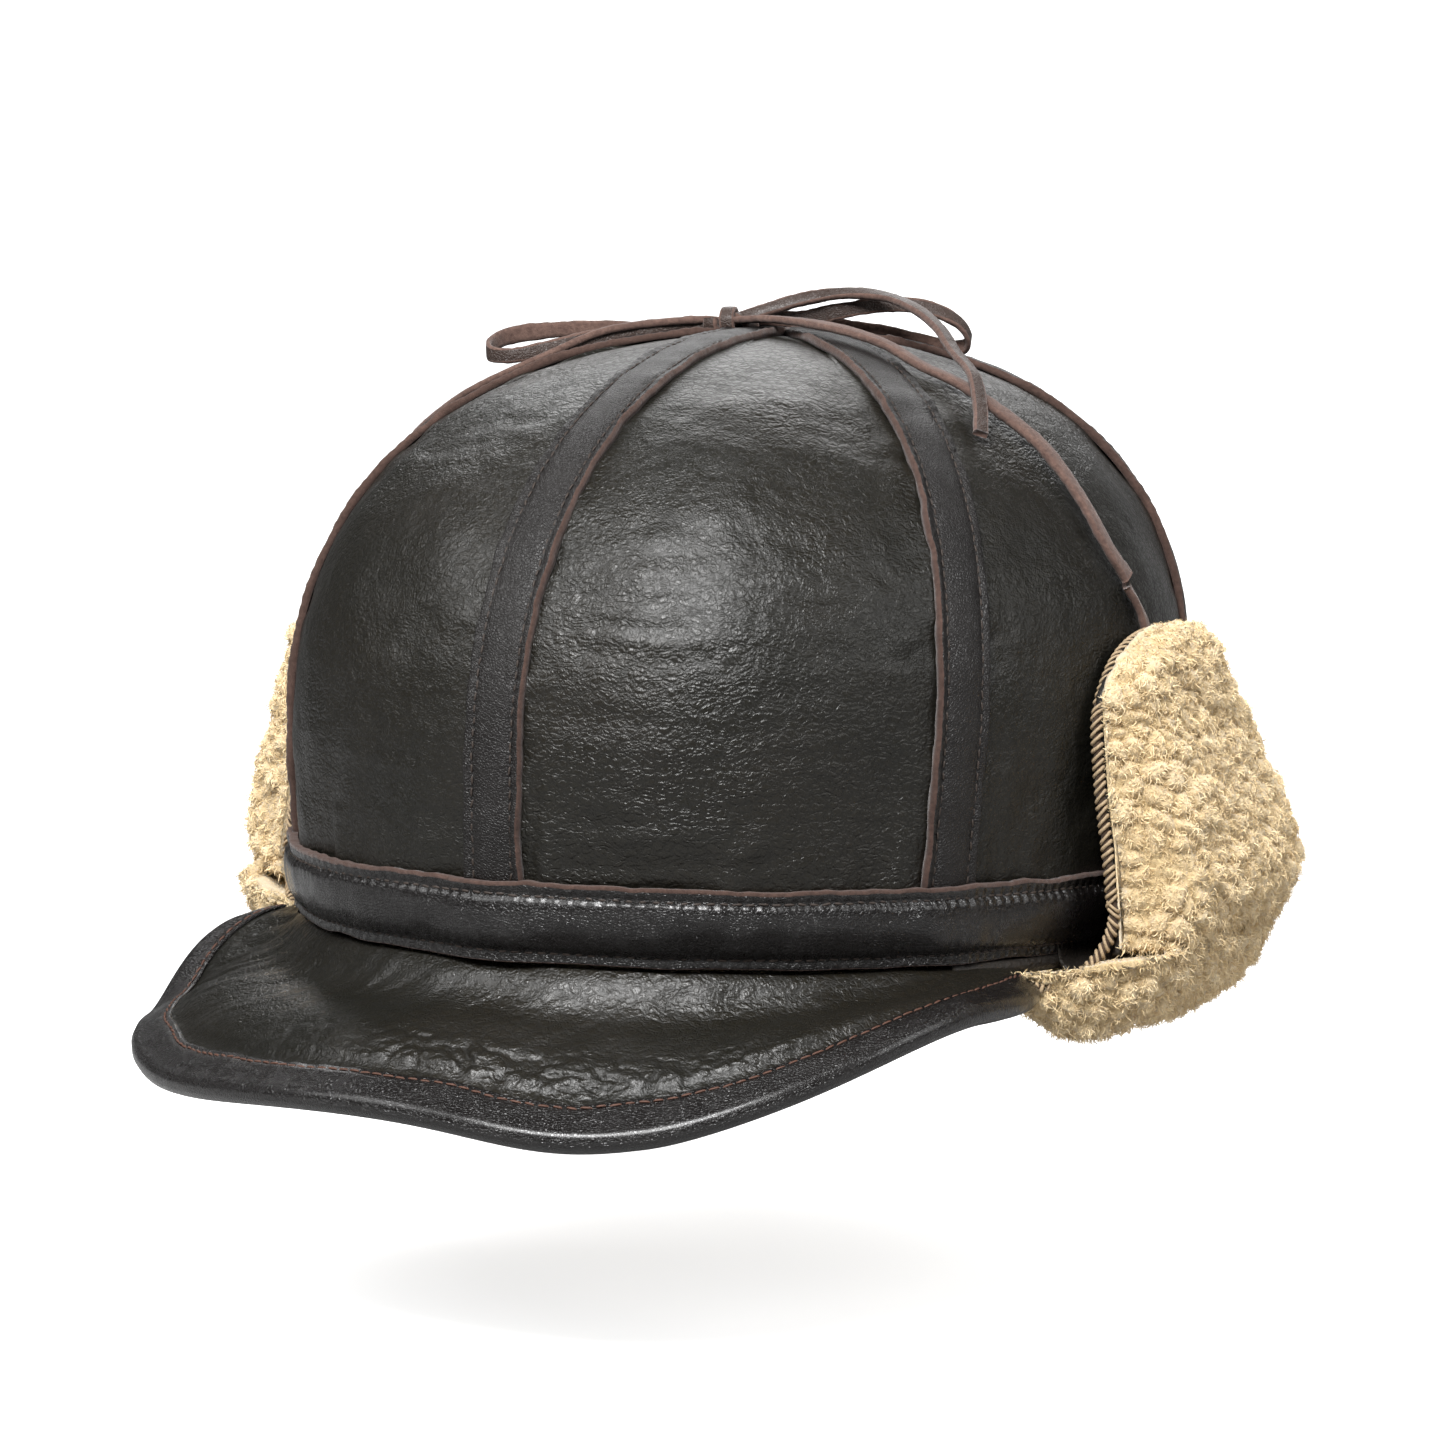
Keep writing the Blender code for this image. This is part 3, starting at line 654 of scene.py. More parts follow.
for tag, g, hand in GORES:
    a0, a1 = SEAMS[g], SEAMS[g + 1]
    u = np.linspace(0, 1, NU)
    s = np.concatenate([np.linspace(0, 0.3, NV // 3, endpoint=False), np.linspace(0.3, 1.0, NV - NV // 3)])
    U, S = np.meshgrid(u, s, indexing="ij")
    phi = hand * (a0 + (a1 - a0) * U)
    Z = crown_z(S)
    P = crown_point(phi, Z)
    N = grid_normals(P)
    if np.sum(N * (P - HEART)) < 0:
        N = -N
    wave = crown_wave(phi, Z, P, 11 + 40 * g + (100 if hand < 0 else 0)) * smooth(0.0, 6.0, Z) * smooth(0.0, 0.12, 1.0 - S)
    outer = P + N * wave[..., None]
    inner = outer - N * 1.5
    if hand > 0:
        outer, inner = outer[::-1], inner[::-1]
    ob = shell("crown_leather_" + tag, outer, inner, [M_CROWN])
    fix_normals(ob)
    carry(ob, "hat", "crown_gore_" + tag, slot="olive_black_leather")


# ---- seam tapes --------------------------------------------------------------
TAPE_HALF = 6.9
TAPE_SEC = [(-7.25, 0.0), (-7.20, 0.75), (-6.95, 1.32), (-6.62, 1.58), (-6.15, 1.55), (-5.3, 1.42), (-4.75, 1.12), (-4.2, 1.42),
            (-2.8, 1.68), (0.0, 1.80), (2.8, 1.68), (4.2, 1.42), (4.75, 1.12), (5.3, 1.42), (6.15, 1.55), (6.62, 1.58),
            (6.95, 1.32), (7.20, 0.75), (7.25, 0.0), (0.0, -0.4)]
TAPE_MAT = {-1: [1, 1, 1] + [0] * 17, 1: [0] * 15 + [1, 1, 1] + [0, 0]}
FOOT_Z = 9.0


def tape_line(phi, s_top, n=240):
    s0 = 0.3 * FOOT_Z / WIDEST_Z
    s = s0 + (s_top - s0) * np.linspace(0, 1, n)
    p = crown_point(np.full(n, phi), crown_z(s))
    return p


def surface_frame(path):
    up = outward(path)
    for _ in range(4):
        up[1:-1] = norm(up[:-2] + up[1:-1] * 2 + up[2:])
    tan = tangents(path)
    side = norm(np.cross(tan, up))
    up = norm(np.cross(side, tan))
    return tan, side, up


def build_tape(tag, path, seed, taper=None, raw=-1):
    path, run = resample(path, 0.9)
    path = drape(path)
    tan, side, up = surface_frame(path)
    sec = np.tile(np.array(TAPE_SEC)[None], (len(path), 1, 1))
    sec = sec + 0.0
    k = run[:, None]
    wob = lambda sd, sc, a: a * noise(np.stack([run / sc, run * 0 + sd, run * 0 + seed], -1), seed + sd)
    left, right = wob(1, 9.0, 0.35) + wob(2, 3.2, 0.18), wob(3, 9.0, 0.35) + wob(4, 3.2, 0.18)
    width = np.ones(len(path)) if taper is None else taper(run / run[-1])
    x = sec[..., 0] * width[:, None]
    x = x + np.where(sec[..., 0] < -5, left[:, None], 0) + np.where(sec[..., 0] > 5, right[:, None], 0)
    sec[..., 0] = x
    ripple = 0.10 * np.sin(run * 2 * pi / 3.0)[:, None] * (np.abs(np.abs(sec[..., 0]) - 5.6) < 1.2)
    lift = wob(5, 7.0, 0.20)[:, None] * (sec[..., 1] > 1)
    edge_l = ((0.30 if raw < 0 else 0.0) + wob(6, 6.0, 0.25))[:, None] * (sec[..., 0] < -5.9)
    edge_r = ((0.30 if raw > 0 else 0.0) + wob(7, 6.0, 0.25))[:, None] * (sec[..., 0] > 5.9)
    sec[..., 1] += (ripple + lift + edge_l + edge_r) * (sec[..., 1] > 0.5)
    # the underside follows the crown, which curves away across the tape
    drop = np.stack([drape(path + side * o) for o in (-7.0, 7.0)], 1)
    fall = np.sum((drop - path[:, None]) * up[:, None], -1)
    sec[..., 1] += np.where(sec[..., 0] < 0, fall[:, :1] * (sec[..., 0] / 7.0) ** 2, fall[:, 1:] * (sec[..., 0] / 7.0) ** 2)
    ob = sweep("tape_" + tag, path, side, up, sec, [M_TAPE, M_EDGE], TAPE_MAT[raw])
    node = "seam_tape_" + tag
    carry(ob, "hat", node, slot="brown_black_leather")
    rows = []
    for sign in (-1, 1):
        n = int(run[-1] / 2.6)
        at = np.linspace(2.0, run[-1] - 2.0, n)
        pick = lambda a: np.stack([np.interp(at, run, a[:, i]) for i in range(3)], 1)
        f = np.interp(at, run, fall[:, 0 if sign < 0 else 1])
        w = np.interp(at, run, width)
        pos = pick(path) + pick(side) * (4.75 * sign * w)[:, None] + pick(up) * (1.30 + f * (4.75 / 7.0) ** 2)[:, None]
        rows.append((pos, norm(pick(tan)), norm(pick(up))))
    pos, tn, un = [np.concatenate([r[i] for r in rows]) for i in range(3)]
    st = stitches("tape_stitches_" + tag, pos, tn, un, M_THREAD, length=1.9, width=0.5, height=0.36, seed=seed)
    carry(st, "hat", slot="brown_black_leather")


CENTRE_RAW = 1
front = tape_line(0.0, 1.0)
back = tape_line(pi, 1.0)
pole = np.array([[0.0, float(centre_y(CROWN_HEIGHT)), CROWN_HEIGHT]])
build_tape("centre", np.concatenate([front, pole, back[::-1]]), 3, raw=CENTRE_RAW)
for tag, deg, sd in (("front_left", 53.0, 5), ("front_right", -53.0, 7), ("rear_left", 118.0, 9), ("rear_right", -118.0, 13)):
    build_tape(tag, tape_line(math.radians(deg), 0.985), sd, lambda f: 1 - 0.25 * smooth(0.85, 1.0, f), raw=-1 if deg > 0 else 1)


# ---- band --------------------------------------------------------------------
BAND_LOW, BAND_HIGH = -0.7, 17.8


def band_base(phi, z):
    return crown_point(phi, np.maximum(z, 0.0))


def band_height(phi, z, seed=0):
    """Outer face of the band over the smooth crown, in mm."""
    k = (z - BAND_LOW) / (BAND_HIGH - BAND_LOW)
    arc = phi * 105.0
    _, d = seam_split(phi)
    over = 1.15 * np.exp(-(d * 100.0 / 8.5) ** 4)
    belly = 1.45 * np.clip(1 - ((k - 0.5) / 0.34) ** 2, 0, 1) ** 0.7
    groove = -0.55 * (np.exp(-((z - BAND_LOW - 2.9) / 0.75) ** 2) + np.exp(-((BAND_HIGH - 2.9 - z) / 0.75) ** 2))
    pucker = 0.16 * np.cos(arc * 2 * pi / 2.7) * (np.exp(-((z - BAND_LOW - 2.9) / 2.2) ** 2) + np.exp(-((BAND_HIGH - 2.9 - z) / 2.2) ** 2))
    fold = 0.30 * noise(np.stack([arc / 5.5, z / 14.0, arc * 0], -1), 71) * np.clip(belly, 0.2, 1)
    slow = 0.45 * noise(np.stack([arc / 22.0, z / 30.0, arc * 0 + 2], -1), 72)
    return 2.35 + over + belly + groove + pucker + fold + slow


nphi, rows = (1500), 26
phis = np.linspace(-pi + 0.004, pi - 0.004, nphi)
zz = np.concatenate([[BAND_LOW, BAND_LOW], np.linspace(BAND_LOW + 0.12, BAND_HIGH - 0.12, rows), [BAND_HIGH, BAND_HIGH]])
frac = np.concatenate([[0.15, 0.75], np.ones(rows), [0.75, 0.15]])
PH, ZG = np.meshgrid(phis, zz, indexing="ij")
arc = PH * 105.0
edge = np.where(ZG > 9, 0.35 * noise(np.stack([arc / 8.0, arc * 0, arc * 0 + 5], -1), 73) + 0.20 * noise(np.stack([arc / 2.6, arc * 0, arc * 0 + 6], -1), 74),
                0.30 * noise(np.stack([arc / 9.0, arc * 0, arc * 0 + 8], -1), 75))
edge = edge * (smooth(12, BAND_HIGH, ZG) + smooth(6, BAND_LOW, ZG))
H = band_height(PH, ZG) * frac[None, :]
base = band_base(PH, ZG)
out_n = norm(np.stack([base[..., 0], base[..., 1], 0 * PH], -1) / np.array([HALF_WIDTH ** 2, HALF_LENGTH ** 2, 1.0]))
outer = base + out_n * H[..., None] + np.array([0, 0, 1.0]) * edge[..., None]
inner = base + out_n * 0.35 + np.array([0, 0, 1.0]) * edge[..., None]
nu, nv = outer.shape[:2]
mat_rows = [1, 1, 1] + [0] * (rows - 3) + [1, 1, 1]
idx = np.concatenate([np.tile(np.array(mat_rows[:nv - 1]), nu - 1), np.zeros((nu - 1) * (nv - 1)), np.ones(2 * (nu + nv) - 4)])
band = shell("band_strap", outer, inner, [M_BAND, M_EDGE], idx)
fix_normals(band)
carry(band, "hat", "hat_band", slot="brown_black_leather")

count = int(690 / 2.7)
ps = np.linspace(-pi + 0.02, pi - 0.02, count)
pos, tn, un = [], [], []
for zrow in (BAND_LOW + 2.9, BAND_HIGH - 2.9):
    z = np.full(count, zrow)
    b = band_base(ps, z)
    nrm_ = norm(np.stack([b[:, 0], b[:, 1], 0 * ps], -1) / np.array([HALF_WIDTH ** 2, HALF_LENGTH ** 2, 1.0]))
    pos.append(b + nrm_ * (band_height(ps, z) + 0.16)[:, None])
    tn.append(norm(np.cross(np.array([0, 0, 1.0]), nrm_)))
    un.append(nrm_)
carry(stitches("band_stitches", np.concatenate(pos), np.concatenate(tn), np.concatenate(un), M_THREAD, length=2.1, width=0.62, seed=21), "hat", slot="brown_black_leather")


# ---- bill --------------------------------------------------------------------
def rim_radius(phi):
    return crown_radius(phi, np.zeros_like(phi))


def bill_depth(deg):
    k = np.minimum(1.0, np.abs(deg) / (BILL_SPAN + 0.5))
    right = BILL_DEPTH * np.sqrt(np.maximum(0, 1 - k ** 5))
    left = BILL_DEPTH * np.maximum(0, 1 - k ** 2.5) ** 0.83
    return np.where(deg < 0, right, left)


def bill_drop(deg):
    low = 24.8 + 4.6 * (np.exp(-((deg + 30.0) / 16.0) ** 2) + np.exp(-((deg - 14.0) / 10.0) ** 2))
    return low * (1 - 0.80 * smooth(20, 52, deg)) * (1 - 0.80 * smooth(52, 66, -deg))


def bill_surface(deg, v, inset=0.0):
    deg, v = np.broadcast_arrays(np.asarray(deg, float), np.asarray(v, float))
    phi = np.radians(deg)
    depth = bill_depth(deg) + 3.0
    v = np.minimum(v, 1.0 - inset / np.maximum(depth, inset + 0.4))
    r = rim_radius(phi) + BILL_ROOT + depth * v
    z = -0.9 - bill_drop(deg) * np.clip(v, 0, 2) ** 0.92
    return np.stack([r * np.sin(phi), -r * np.cos(phi), z], -1)


def bill_frame(deg, v, inset=0.0):
    p = bill_surface(deg, v, inset)
    vv = np.asarray(v, float)
    out = bill_surface(deg, np.minimum(1.0, vv + 0.04)) - bill_surface(deg, np.maximum(0.0, vv - 0.04))
    along = bill_surface(np.asarray(deg) + 1.0, v) - bill_surface(np.asarray(deg) - 1.0, v)
    n = norm(np.cross(along, out))
    n = np.where(n[..., 2:] < 0, -n, n)
    out = norm(np.cross(n, along))
    out = np.where(np.sum(out * p, -1, keepdims=True) < 0, -out, out)
    return p, out, n


STACK = 3.5
SPAN = BILL_SPAN + 1.0


def hollow(deg, run_out):
    """Soft hollow under the band and the low swell beyond it."""
    return (-2.4 * np.exp(-((run_out - 9.0) / 6.0) ** 2) + 1.5 * np.exp(-((run_out - 25.0) / 8.0) ** 2)) * (1 - smooth(38, 60, np.abs(deg)))


nu, nv = ((560, 120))
dg = np.linspace(-SPAN, SPAN, nu)
vv = np.linspace(-0.16, 1.0, nv)
DG, VV = np.meshgrid(dg, vv, indexing="ij")
P, _, N = bill_frame(DG, np.clip(VV, 0.0, 1.0), 0.0)
tuck = np.clip(-VV, 0.0, None)          # the root runs on under the rim, inside the band
P = P - norm(P * np.array([1, 1, 0.0])) * (tuck * 62.0)[..., None] + np.array([0, 0, 1.0]) * (0.35 * smooth(0, 0.05, tuck))[..., None]
VT = np.clip(VV, 0.0, None)
arc = DG * 2.3
rad_ = VT * (bill_depth(DG) + 3.0)
flat = np.stack([arc, rad_, 0 * arc], -1)
lap_in = np.minimum(7.6, 0.55 * (bill_depth(DG) + 3.0))
from_edge = (bill_depth(DG) + 3.0) * (1 - VT)
wx = 2.2 * noise(flat / 14.0, 81)
wy = 2.2 * noise(flat / 14.0, 82)
# long soft wrinkles flowing out of the corner by the binding
corner = smooth(8, 52, -DG)
fl_u = (arc + wx) * 0.62 + (rad_ + wy) * 0.78
fl_v = -(arc + wx) * 0.78 + (rad_ + wy) * 0.62
flow = noise(np.stack([fl_u / 4.2, fl_v / 26.0, 0 * arc + 1.0], -1), 83) + 0.5 * noise(np.stack([fl_u / 2.0, fl_v / 15.0, 0 * arc + 4.0], -1), 84)
wave = 0.50 * flow * (0.40 + 0.60 * corner)
# crumpled patch toward the wearer's left, against the binding
patch = np.exp(-((DG - 9.0) / 20.0) ** 2) * smooth(0.40, 0.74, VT) + 0.35 * np.exp(-((DG + 50.0) / 9.0) ** 2) * smooth(0.45, 0.8, VT)
cr = ridge(np.stack([(arc + wx) / 6.2, (rad_ + wy) / 5.0, 0 * arc + 0.3], -1), 2, 85)
cr2 = ridge(np.stack([(arc + 2 * wx) / 3.0, (rad_ + 2 * wy) / 2.6, 0 * arc + 2.3], -1), 2, 86)
wave = wave + patch * (1.7 * (cr - 0.55) + 0.6 * (cr2 - 0.5))
wave = wave + 0.85 * fbm(flat / 26.0, 2, 87)
# puckers along the binding stitches and below the band
wave = wave + 0.42 * noise(np.stack([arc / 3.4, rad_ / 16.0, 0 * arc], -1), 88) * np.exp(-np.clip(from_edge - lap_in, 0, None) / 4.5)
wave = wave + 0.35 * noise(np.stack([arc / 8.0, rad_ / 5.0, 0 * arc + 2], -1), 89) * np.exp(-rad_ / 8.0)
open_ = 1 - smooth(38, 60, np.abs(DG))
dip = hollow(DG, rad_)
fade = smooth(0.5, 5.0, rad_) * smooth(0.6, 4.5, from_edge - lap_in) * (1 - smooth(BILL_SPAN - 9, BILL_SPAN - 1, np.abs(DG)))
outer = P + N * ((wave + dip) * fade)[..., None]
inner = P + np.minimum(0.0, (wave + dip) * fade)[..., None] * N * 0.95 - np.array([0, 0, 1.0]) * 1.0
ob = shell("bill_top_skin", outer, inner, [M_BILL])
fix_normals(ob)
carry(ob, "hat", "bill_top_leather", slot="olive_black_leather")

DG2, VV2 = np.meshgrid(np.linspace(-SPAN, SPAN, 200), np.linspace(0, 1, 24), indexing="ij")
P2 = bill_surface(DG2, VV2, 0.8)
R2 = VV2 * (bill_depth(DG2) + 3.0)
P2 = P2 + np.array([0, 0, 1.0]) * (np.minimum(0.0, hollow(DG2, R2)) * smooth(0.5, 5.0, R2))[..., None]
core_top, core_low = P2 - np.array([0, 0, 2.6]), P2 - np.array([0, 0, 3.1])
core = shell("bill_core_board", core_top, core_low, [M_UNDER])
fix_normals(core)
carry(core, "hat", "bill_stiffener", slot="stiffener_board")
und = 0.35 * fbm(np.stack([DG2 * 2.3 / 9, VV2 * 4, 0 * DG2], -1), 3, 91)
under = shell("bill_under_skin", P2 - np.array([0, 0, 3.2]), P2 - np.array([0, 0, 3.9]) - und[..., None] * np.array([0, 0, 1.0]), [M_UNDER])
fix_normals(under)
carry(under, "hat", "bill_under_leather", slot="dark_hide")

nb = 900
deg = np.linspace(-BILL_SPAN + 0.4, BILL_SPAN - 0.4, nb)
EDGE_UP = np.array([0, 0, 0.9])
edge_line = bill_surface(deg, np.ones(nb))
run = np.concatenate([[0], np.cumsum(np.linalg.norm(np.diff(edge_line, axis=0), axis=1))])
lap = np.minimum(7.6, 0.55 * (bill_depth(deg) + 3.0))
lap = lap * (1 + 0.06 * noise(np.stack([run / 14, run * 0, run * 0], -1), 92))
p1, out1, n1 = bill_frame(deg, np.ones(nb))
plan = norm(out1 * np.array([1, 1, 0.0]))
for _ in range(10):
    plan[1:-1] = norm(plan[:-2] + plan[1:-1] + plan[2:])
K = 22
rowsP = []
colk = np.linspace(0, 1, K)
for k in colk:                      # top lap, then round the edge, then under lap
    if k < 0.42:
        f = k / 0.42
        ins = lap * (1 - f)
        b = bill_surface(deg, np.ones(nb), ins)
        h = 0.35 + 0.60 * smooth(0.0, 0.18, f) + 0.35 * np.sin(pi * np.clip(f, 0, 1)) ** 0.8
        h = h - 0.45 * np.exp(-((ins - lap + 1.7) / 0.6) ** 2)
        h = h + 0.16 * noise(np.stack([run / 4.5, run * 0 + f * 2.2, run * 0 + 3], -1), 93)
        rowsP.append(b + np.array([0, 0, 1.0]) * h[:, None])
    elif k > 0.66:
        f = (k - 0.66) / 0.34
        b = bill_surface(deg, np.ones(nb), lap * 0.95 * f)
        h = 0.5 + 0.5 * (1 - f)
        rowsP.append(b - np.array([0, 0, 1.0]) * (STACK + h))
    else:
        f = (k - 0.42) / 0.24
        a = pi * f
        mid = edge_line - np.array([0, 0, 0.5]) * (STACK - 0.2)
        hh = 0.5 * STACK + 0.95
        rowsP.append(mid + np.array([0, 0, 1.0]) * (hh * np.cos(a)) + plan * (0.2 + 2.1 * np.sin(a)))
B = np.stack(rowsP, 1)
Bn = grid_normals(B)
ref = np.where(np.arange(K)[None, :, None] < K * 0.5, np.array([0, 0, 1.0]), np.array([0, 0, -1.0]))
if np.sum(Bn * ref) < 0:
    Bn = -Bn
ob = shell("bill_binding", B, B - Bn * 1.0, [M_BAND])
fix_normals(ob)
carry(ob, "hat", "bill_edge_binding", slot="brown_black_leather")

at = np.linspace(3, run[-1] - 3, int(run[-1] / 3.2))
dd = np.interp(at, run, deg)
ll = np.interp(at, run, lap)
b = bill_surface(dd, np.ones(len(dd)), ll - 1.7)
t = norm(bill_surface(dd + 0.6, np.ones(len(dd)), ll - 1.9) - bill_surface(dd - 0.6, np.ones(len(dd)), ll - 1.9))
_, _, nn = bill_frame(dd, np.ones(len(dd)))
carry(stitches("bill_stitches", b + np.array([0, 0, 1.0]) * 0.95, t, nn, M_THREAD_BROWN, length=2.4, width=0.6, seed=31), "hat", slot="brown_black_leather")


# ---- wool --------------------------------------------------------------------
def fibres(name, root, axis, length, clump, seed, width=0.42, points=6, curl=1.1, droop=(0, 0, -0.18), tone=None, keep=None):
    """Thin tapered ribbons growing from root along axis. clump gives each fibre its lock's number."""
    rng = np.random.default_rng(seed)
    n = len(root)
    ids, inv = np.unique(clump, return_inverse=True)
    m = len(ids)
    centre = np.zeros((m, 3))
    cnt = np.bincount(inv, minlength=m)[:, None]
    for i in range(3):
        centre[:, i] = np.bincount(inv, root[:, i], m)
    centre = centre / cnt
    ax = np.zeros((m, 3))
    for i in range(3):
        ax[:, i] = np.bincount(inv, axis[:, i], m)
    ax = norm(ax)
    sway = rng.normal(0, 1, (m, 3))
    sway = sway - ax * np.sum(sway * ax, -1, keepdims=True)
    sway = norm(sway) * rng.uniform(0.15, 0.85, (m, 1))
    lock_len = rng.uniform(0.82, 1.16, m)
    phase = rng.uniform(0, 2 * pi, m)
    turns = rng.uniform(0.8, 1.7, m) * np.sign(rng.uniform(-1, 1, m))
    radius = curl * rng.uniform(0.6, 1.3, m)
    a1 = norm(np.cross(ax, np.array([0.31, 0.55, 0.77])))
    a2 = np.cross(ax, a1)
    k = np.linspace(0, 1, points)
    c, axf = centre[inv], ax[inv]
    L = (length * lock_len[inv] * rng.uniform(0.86, 1.08, n))
    drift = (axf + sway[inv] * 0.55 + np.array(droop))
    off = root - c
    jit = rng.normal(0, 1, (n, 3))
    fph = rng.normal(0, 0.5, n)
    pts = np.zeros((n, points, 3))
    bend_dir = sway / np.maximum(np.linalg.norm(sway, axis=-1, keepdims=True), 1e-9)
    kap = rng.uniform(1.9, 3.5, m)[inv] * rng.uniform(0.9, 1.1, n)
    swing = bend_dir[inv] + 0.22 * jit
    swing = norm(swing - axf * np.sum(swing * axf, -1, keepdims=True))
    R = L / kap
    for j, f in enumerate(k):
        pull = 1 - 0.45 * f ** 0.8                      # fibres draw together toward the tip
        ang = phase[inv] + fph + turns[inv] * 2 * pi * f
        rr = (radius[inv] * 0.34 * min(1.0, f * 2.5))[:, None]
        swirl = a1[inv] * np.cos(ang)[:, None] * rr + a2[inv] * np.sin(ang)[:, None] * rr
        arcv = axf * (R * np.sin(kap * f))[:, None] + swing * (R * (1 - np.cos(kap * f)))[:, None]
        stray = jit * (0.08 + 0.30 * f * f)
        pts[:, j] = c + off * pull + arcv + swirl + stray + np.array(droop) * (L * f * f * 0.6)[:, None]
    tan = np.gradient(pts, axis=1)
    side = norm(np.cross(tan, rng.normal(0, 1, (n, 1, 3)) + 0 * tan))
    w = width * 0.5 * np.array([0.9, 1.0, 0.95, 0.85, 0.6, 0.18])[:points] * rng.uniform(0.7, 1.25, (n, 1))
    a = pts - side * w[..., None]
    b = pts + side * w[..., None]
    verts = np.stack([a, b], 2).reshape(-1, 3)
    one = np.array([[2 * j, 2 * j + 1, 2 * j + 3, 2 * j + 2] for j in range(points - 1)])
    faces = (one[None] + (np.arange(n) * points * 2)[:, None, None]).reshape(-1, 4)
    lock_tone = rng.normal(0, 1, m)[inv] * 0.11 + rng.normal(0, 0.06, n)
    if tone is not None:
        lock_tone = lock_tone + tone
    f = k[None, :] + lock_tone[:, None]
    stops = np.array([0.0, 0.35, 0.7, 1.05])
    cols = np.array([(0.33, 0.205, 0.085), (0.60, 0.445, 0.235), (0.80, 0.655, 0.415), (0.91, 0.81, 0.60)])
    rgb = np.stack([np.interp(f, stops, cols[:, i]) for i in range(3)], -1)
    rgb = np.repeat(rgb, 2, axis=1).reshape(-1, 3)
    return new_mesh(name, verts, faces, [M_WOOL], colour=rgb)


def flap_xyz(hand, t, n, z):
    t, n, z = np.broadcast_arrays(np.asarray(t, float), np.asarray(n, float), np.asarray(z, float))
    return np.stack([hand * (CY * n - SY * t), SY * n + CY * t, z], -1)


def flap_top(t):
    a = FLAP_TIP_Z - 14.0 * (np.clip(FLAP_TIP_T - t, 0, None) / (FLAP_TIP_T - FLAP_FRONT)) ** 3
    b = FLAP_REAR_Z + (FLAP_TIP_Z - FLAP_REAR_Z) * (1 - smooth(FLAP_TIP_T, 62.0, t))
    return np.where(t < FLAP_TIP_T, a, b)


def flap_skin(t):
    mid = 0.5 * (FLAP_FRONT + FLAP_REAR)
    return FLAP_N - FLAP_SAG * ((t - mid) / (0.5 * (FLAP_REAR - FLAP_FRONT))) ** 2


def lean(z):
    """How far the flap's upper part leans in on the crown."""
    return -3.2 * smooth(22, 70, z)


def hide_n(t, z):
    """Where the flap's hide sits, flaring off the crown low on its front edge."""
    flare = 3.2 * (1 - smooth(4, 40, z)) * (1 - smooth(FLAP_FRONT, FLAP_FRONT + 20.0, t))
    return flap_skin(t) + lean(z) + flare


def pile_depth(u, k, z):
    """Depth of the wool over the skin; u across the flap, k from base to top."""
    body = 9.0 + 11.5 * (1 - smooth(2, 66, z))
    e = np.minimum(np.minimum(u, 1 - u) / 0.12, (1 - k) / 0.16)
    e = np.clip(e, 0, 1)
    close = np.clip(np.minimum(np.minimum(u, 1 - u) / 0.035, (1 - k) / 0.05), 0, 1)
    return body * (0.40 + 0.60 * np.sqrt(np.maximum(0, 1 - (1 - e) ** 2))) * (0.10 + 0.90 * np.sqrt(np.maximum(0, 1 - (1 - close) ** 2)))


def locks(u, v, su, sv, pitch_u, pitch_v, seed):
    """Number of the jittered lock each (u, v) point in mm belongs to."""
    gu, gv = u / pitch_u, v / pitch_v
    iu, iv = np.floor(gu).astype(np.int64), np.floor(gv).astype(np.int64)
    best = np.full(u.shape, 1e9)
    out = np.zeros(u.shape, np.int64)
    for du in (-1, 0, 1):
        for dv in (-1, 0, 1):
            a, b = iu + du, iv + dv
            cu = a + 0.5 + 0.42 * _hash(a, b, a * 0, seed)
            cv = b + 0.5 + 0.42 * _hash(a, b, a * 0 + 1, seed)
            d = (gu - cu) ** 2 + (gv - cv) ** 2
            m = d < best
            best = np.where(m, d, best)
            out = np.where(m, a * 100003 + b, out)
    return out


FIB = 1.0


def pillow(name, point, nu, nv, mats, wrap_u=False):
    """A closed skin: point(U, V) for V 0..1 round the whole section, U along."""
    U, V = np.meshgrid(np.linspace(0, 1, nu, endpoint=not wrap_u), np.linspace(0, 1, nv, endpoint=False), indexing="ij")
    P = point(U, V)
    q = grid_quads(nu, nv, wrap_u=wrap_u, wrap_v=True)
    verts = P.reshape(-1, 3)
    faces = [q]
    if not wrap_u:
        c0, c1 = P[0].mean(0), P[-1].mean(0)
        verts = np.concatenate([verts, [c0, c1]])
        k = np.arange(nv)
        k1 = (k + 1) % nv
        faces.append(np.stack([np.full(nv, nu * nv), k1, k], -1))
        faces.append(np.stack([np.full(nv, nu * nv + 1), (nu - 1) * nv + k, (nu - 1) * nv + k1], -1))
    ob = new_mesh(name, verts, faces, mats)
    fix_normals(ob)
    return ob


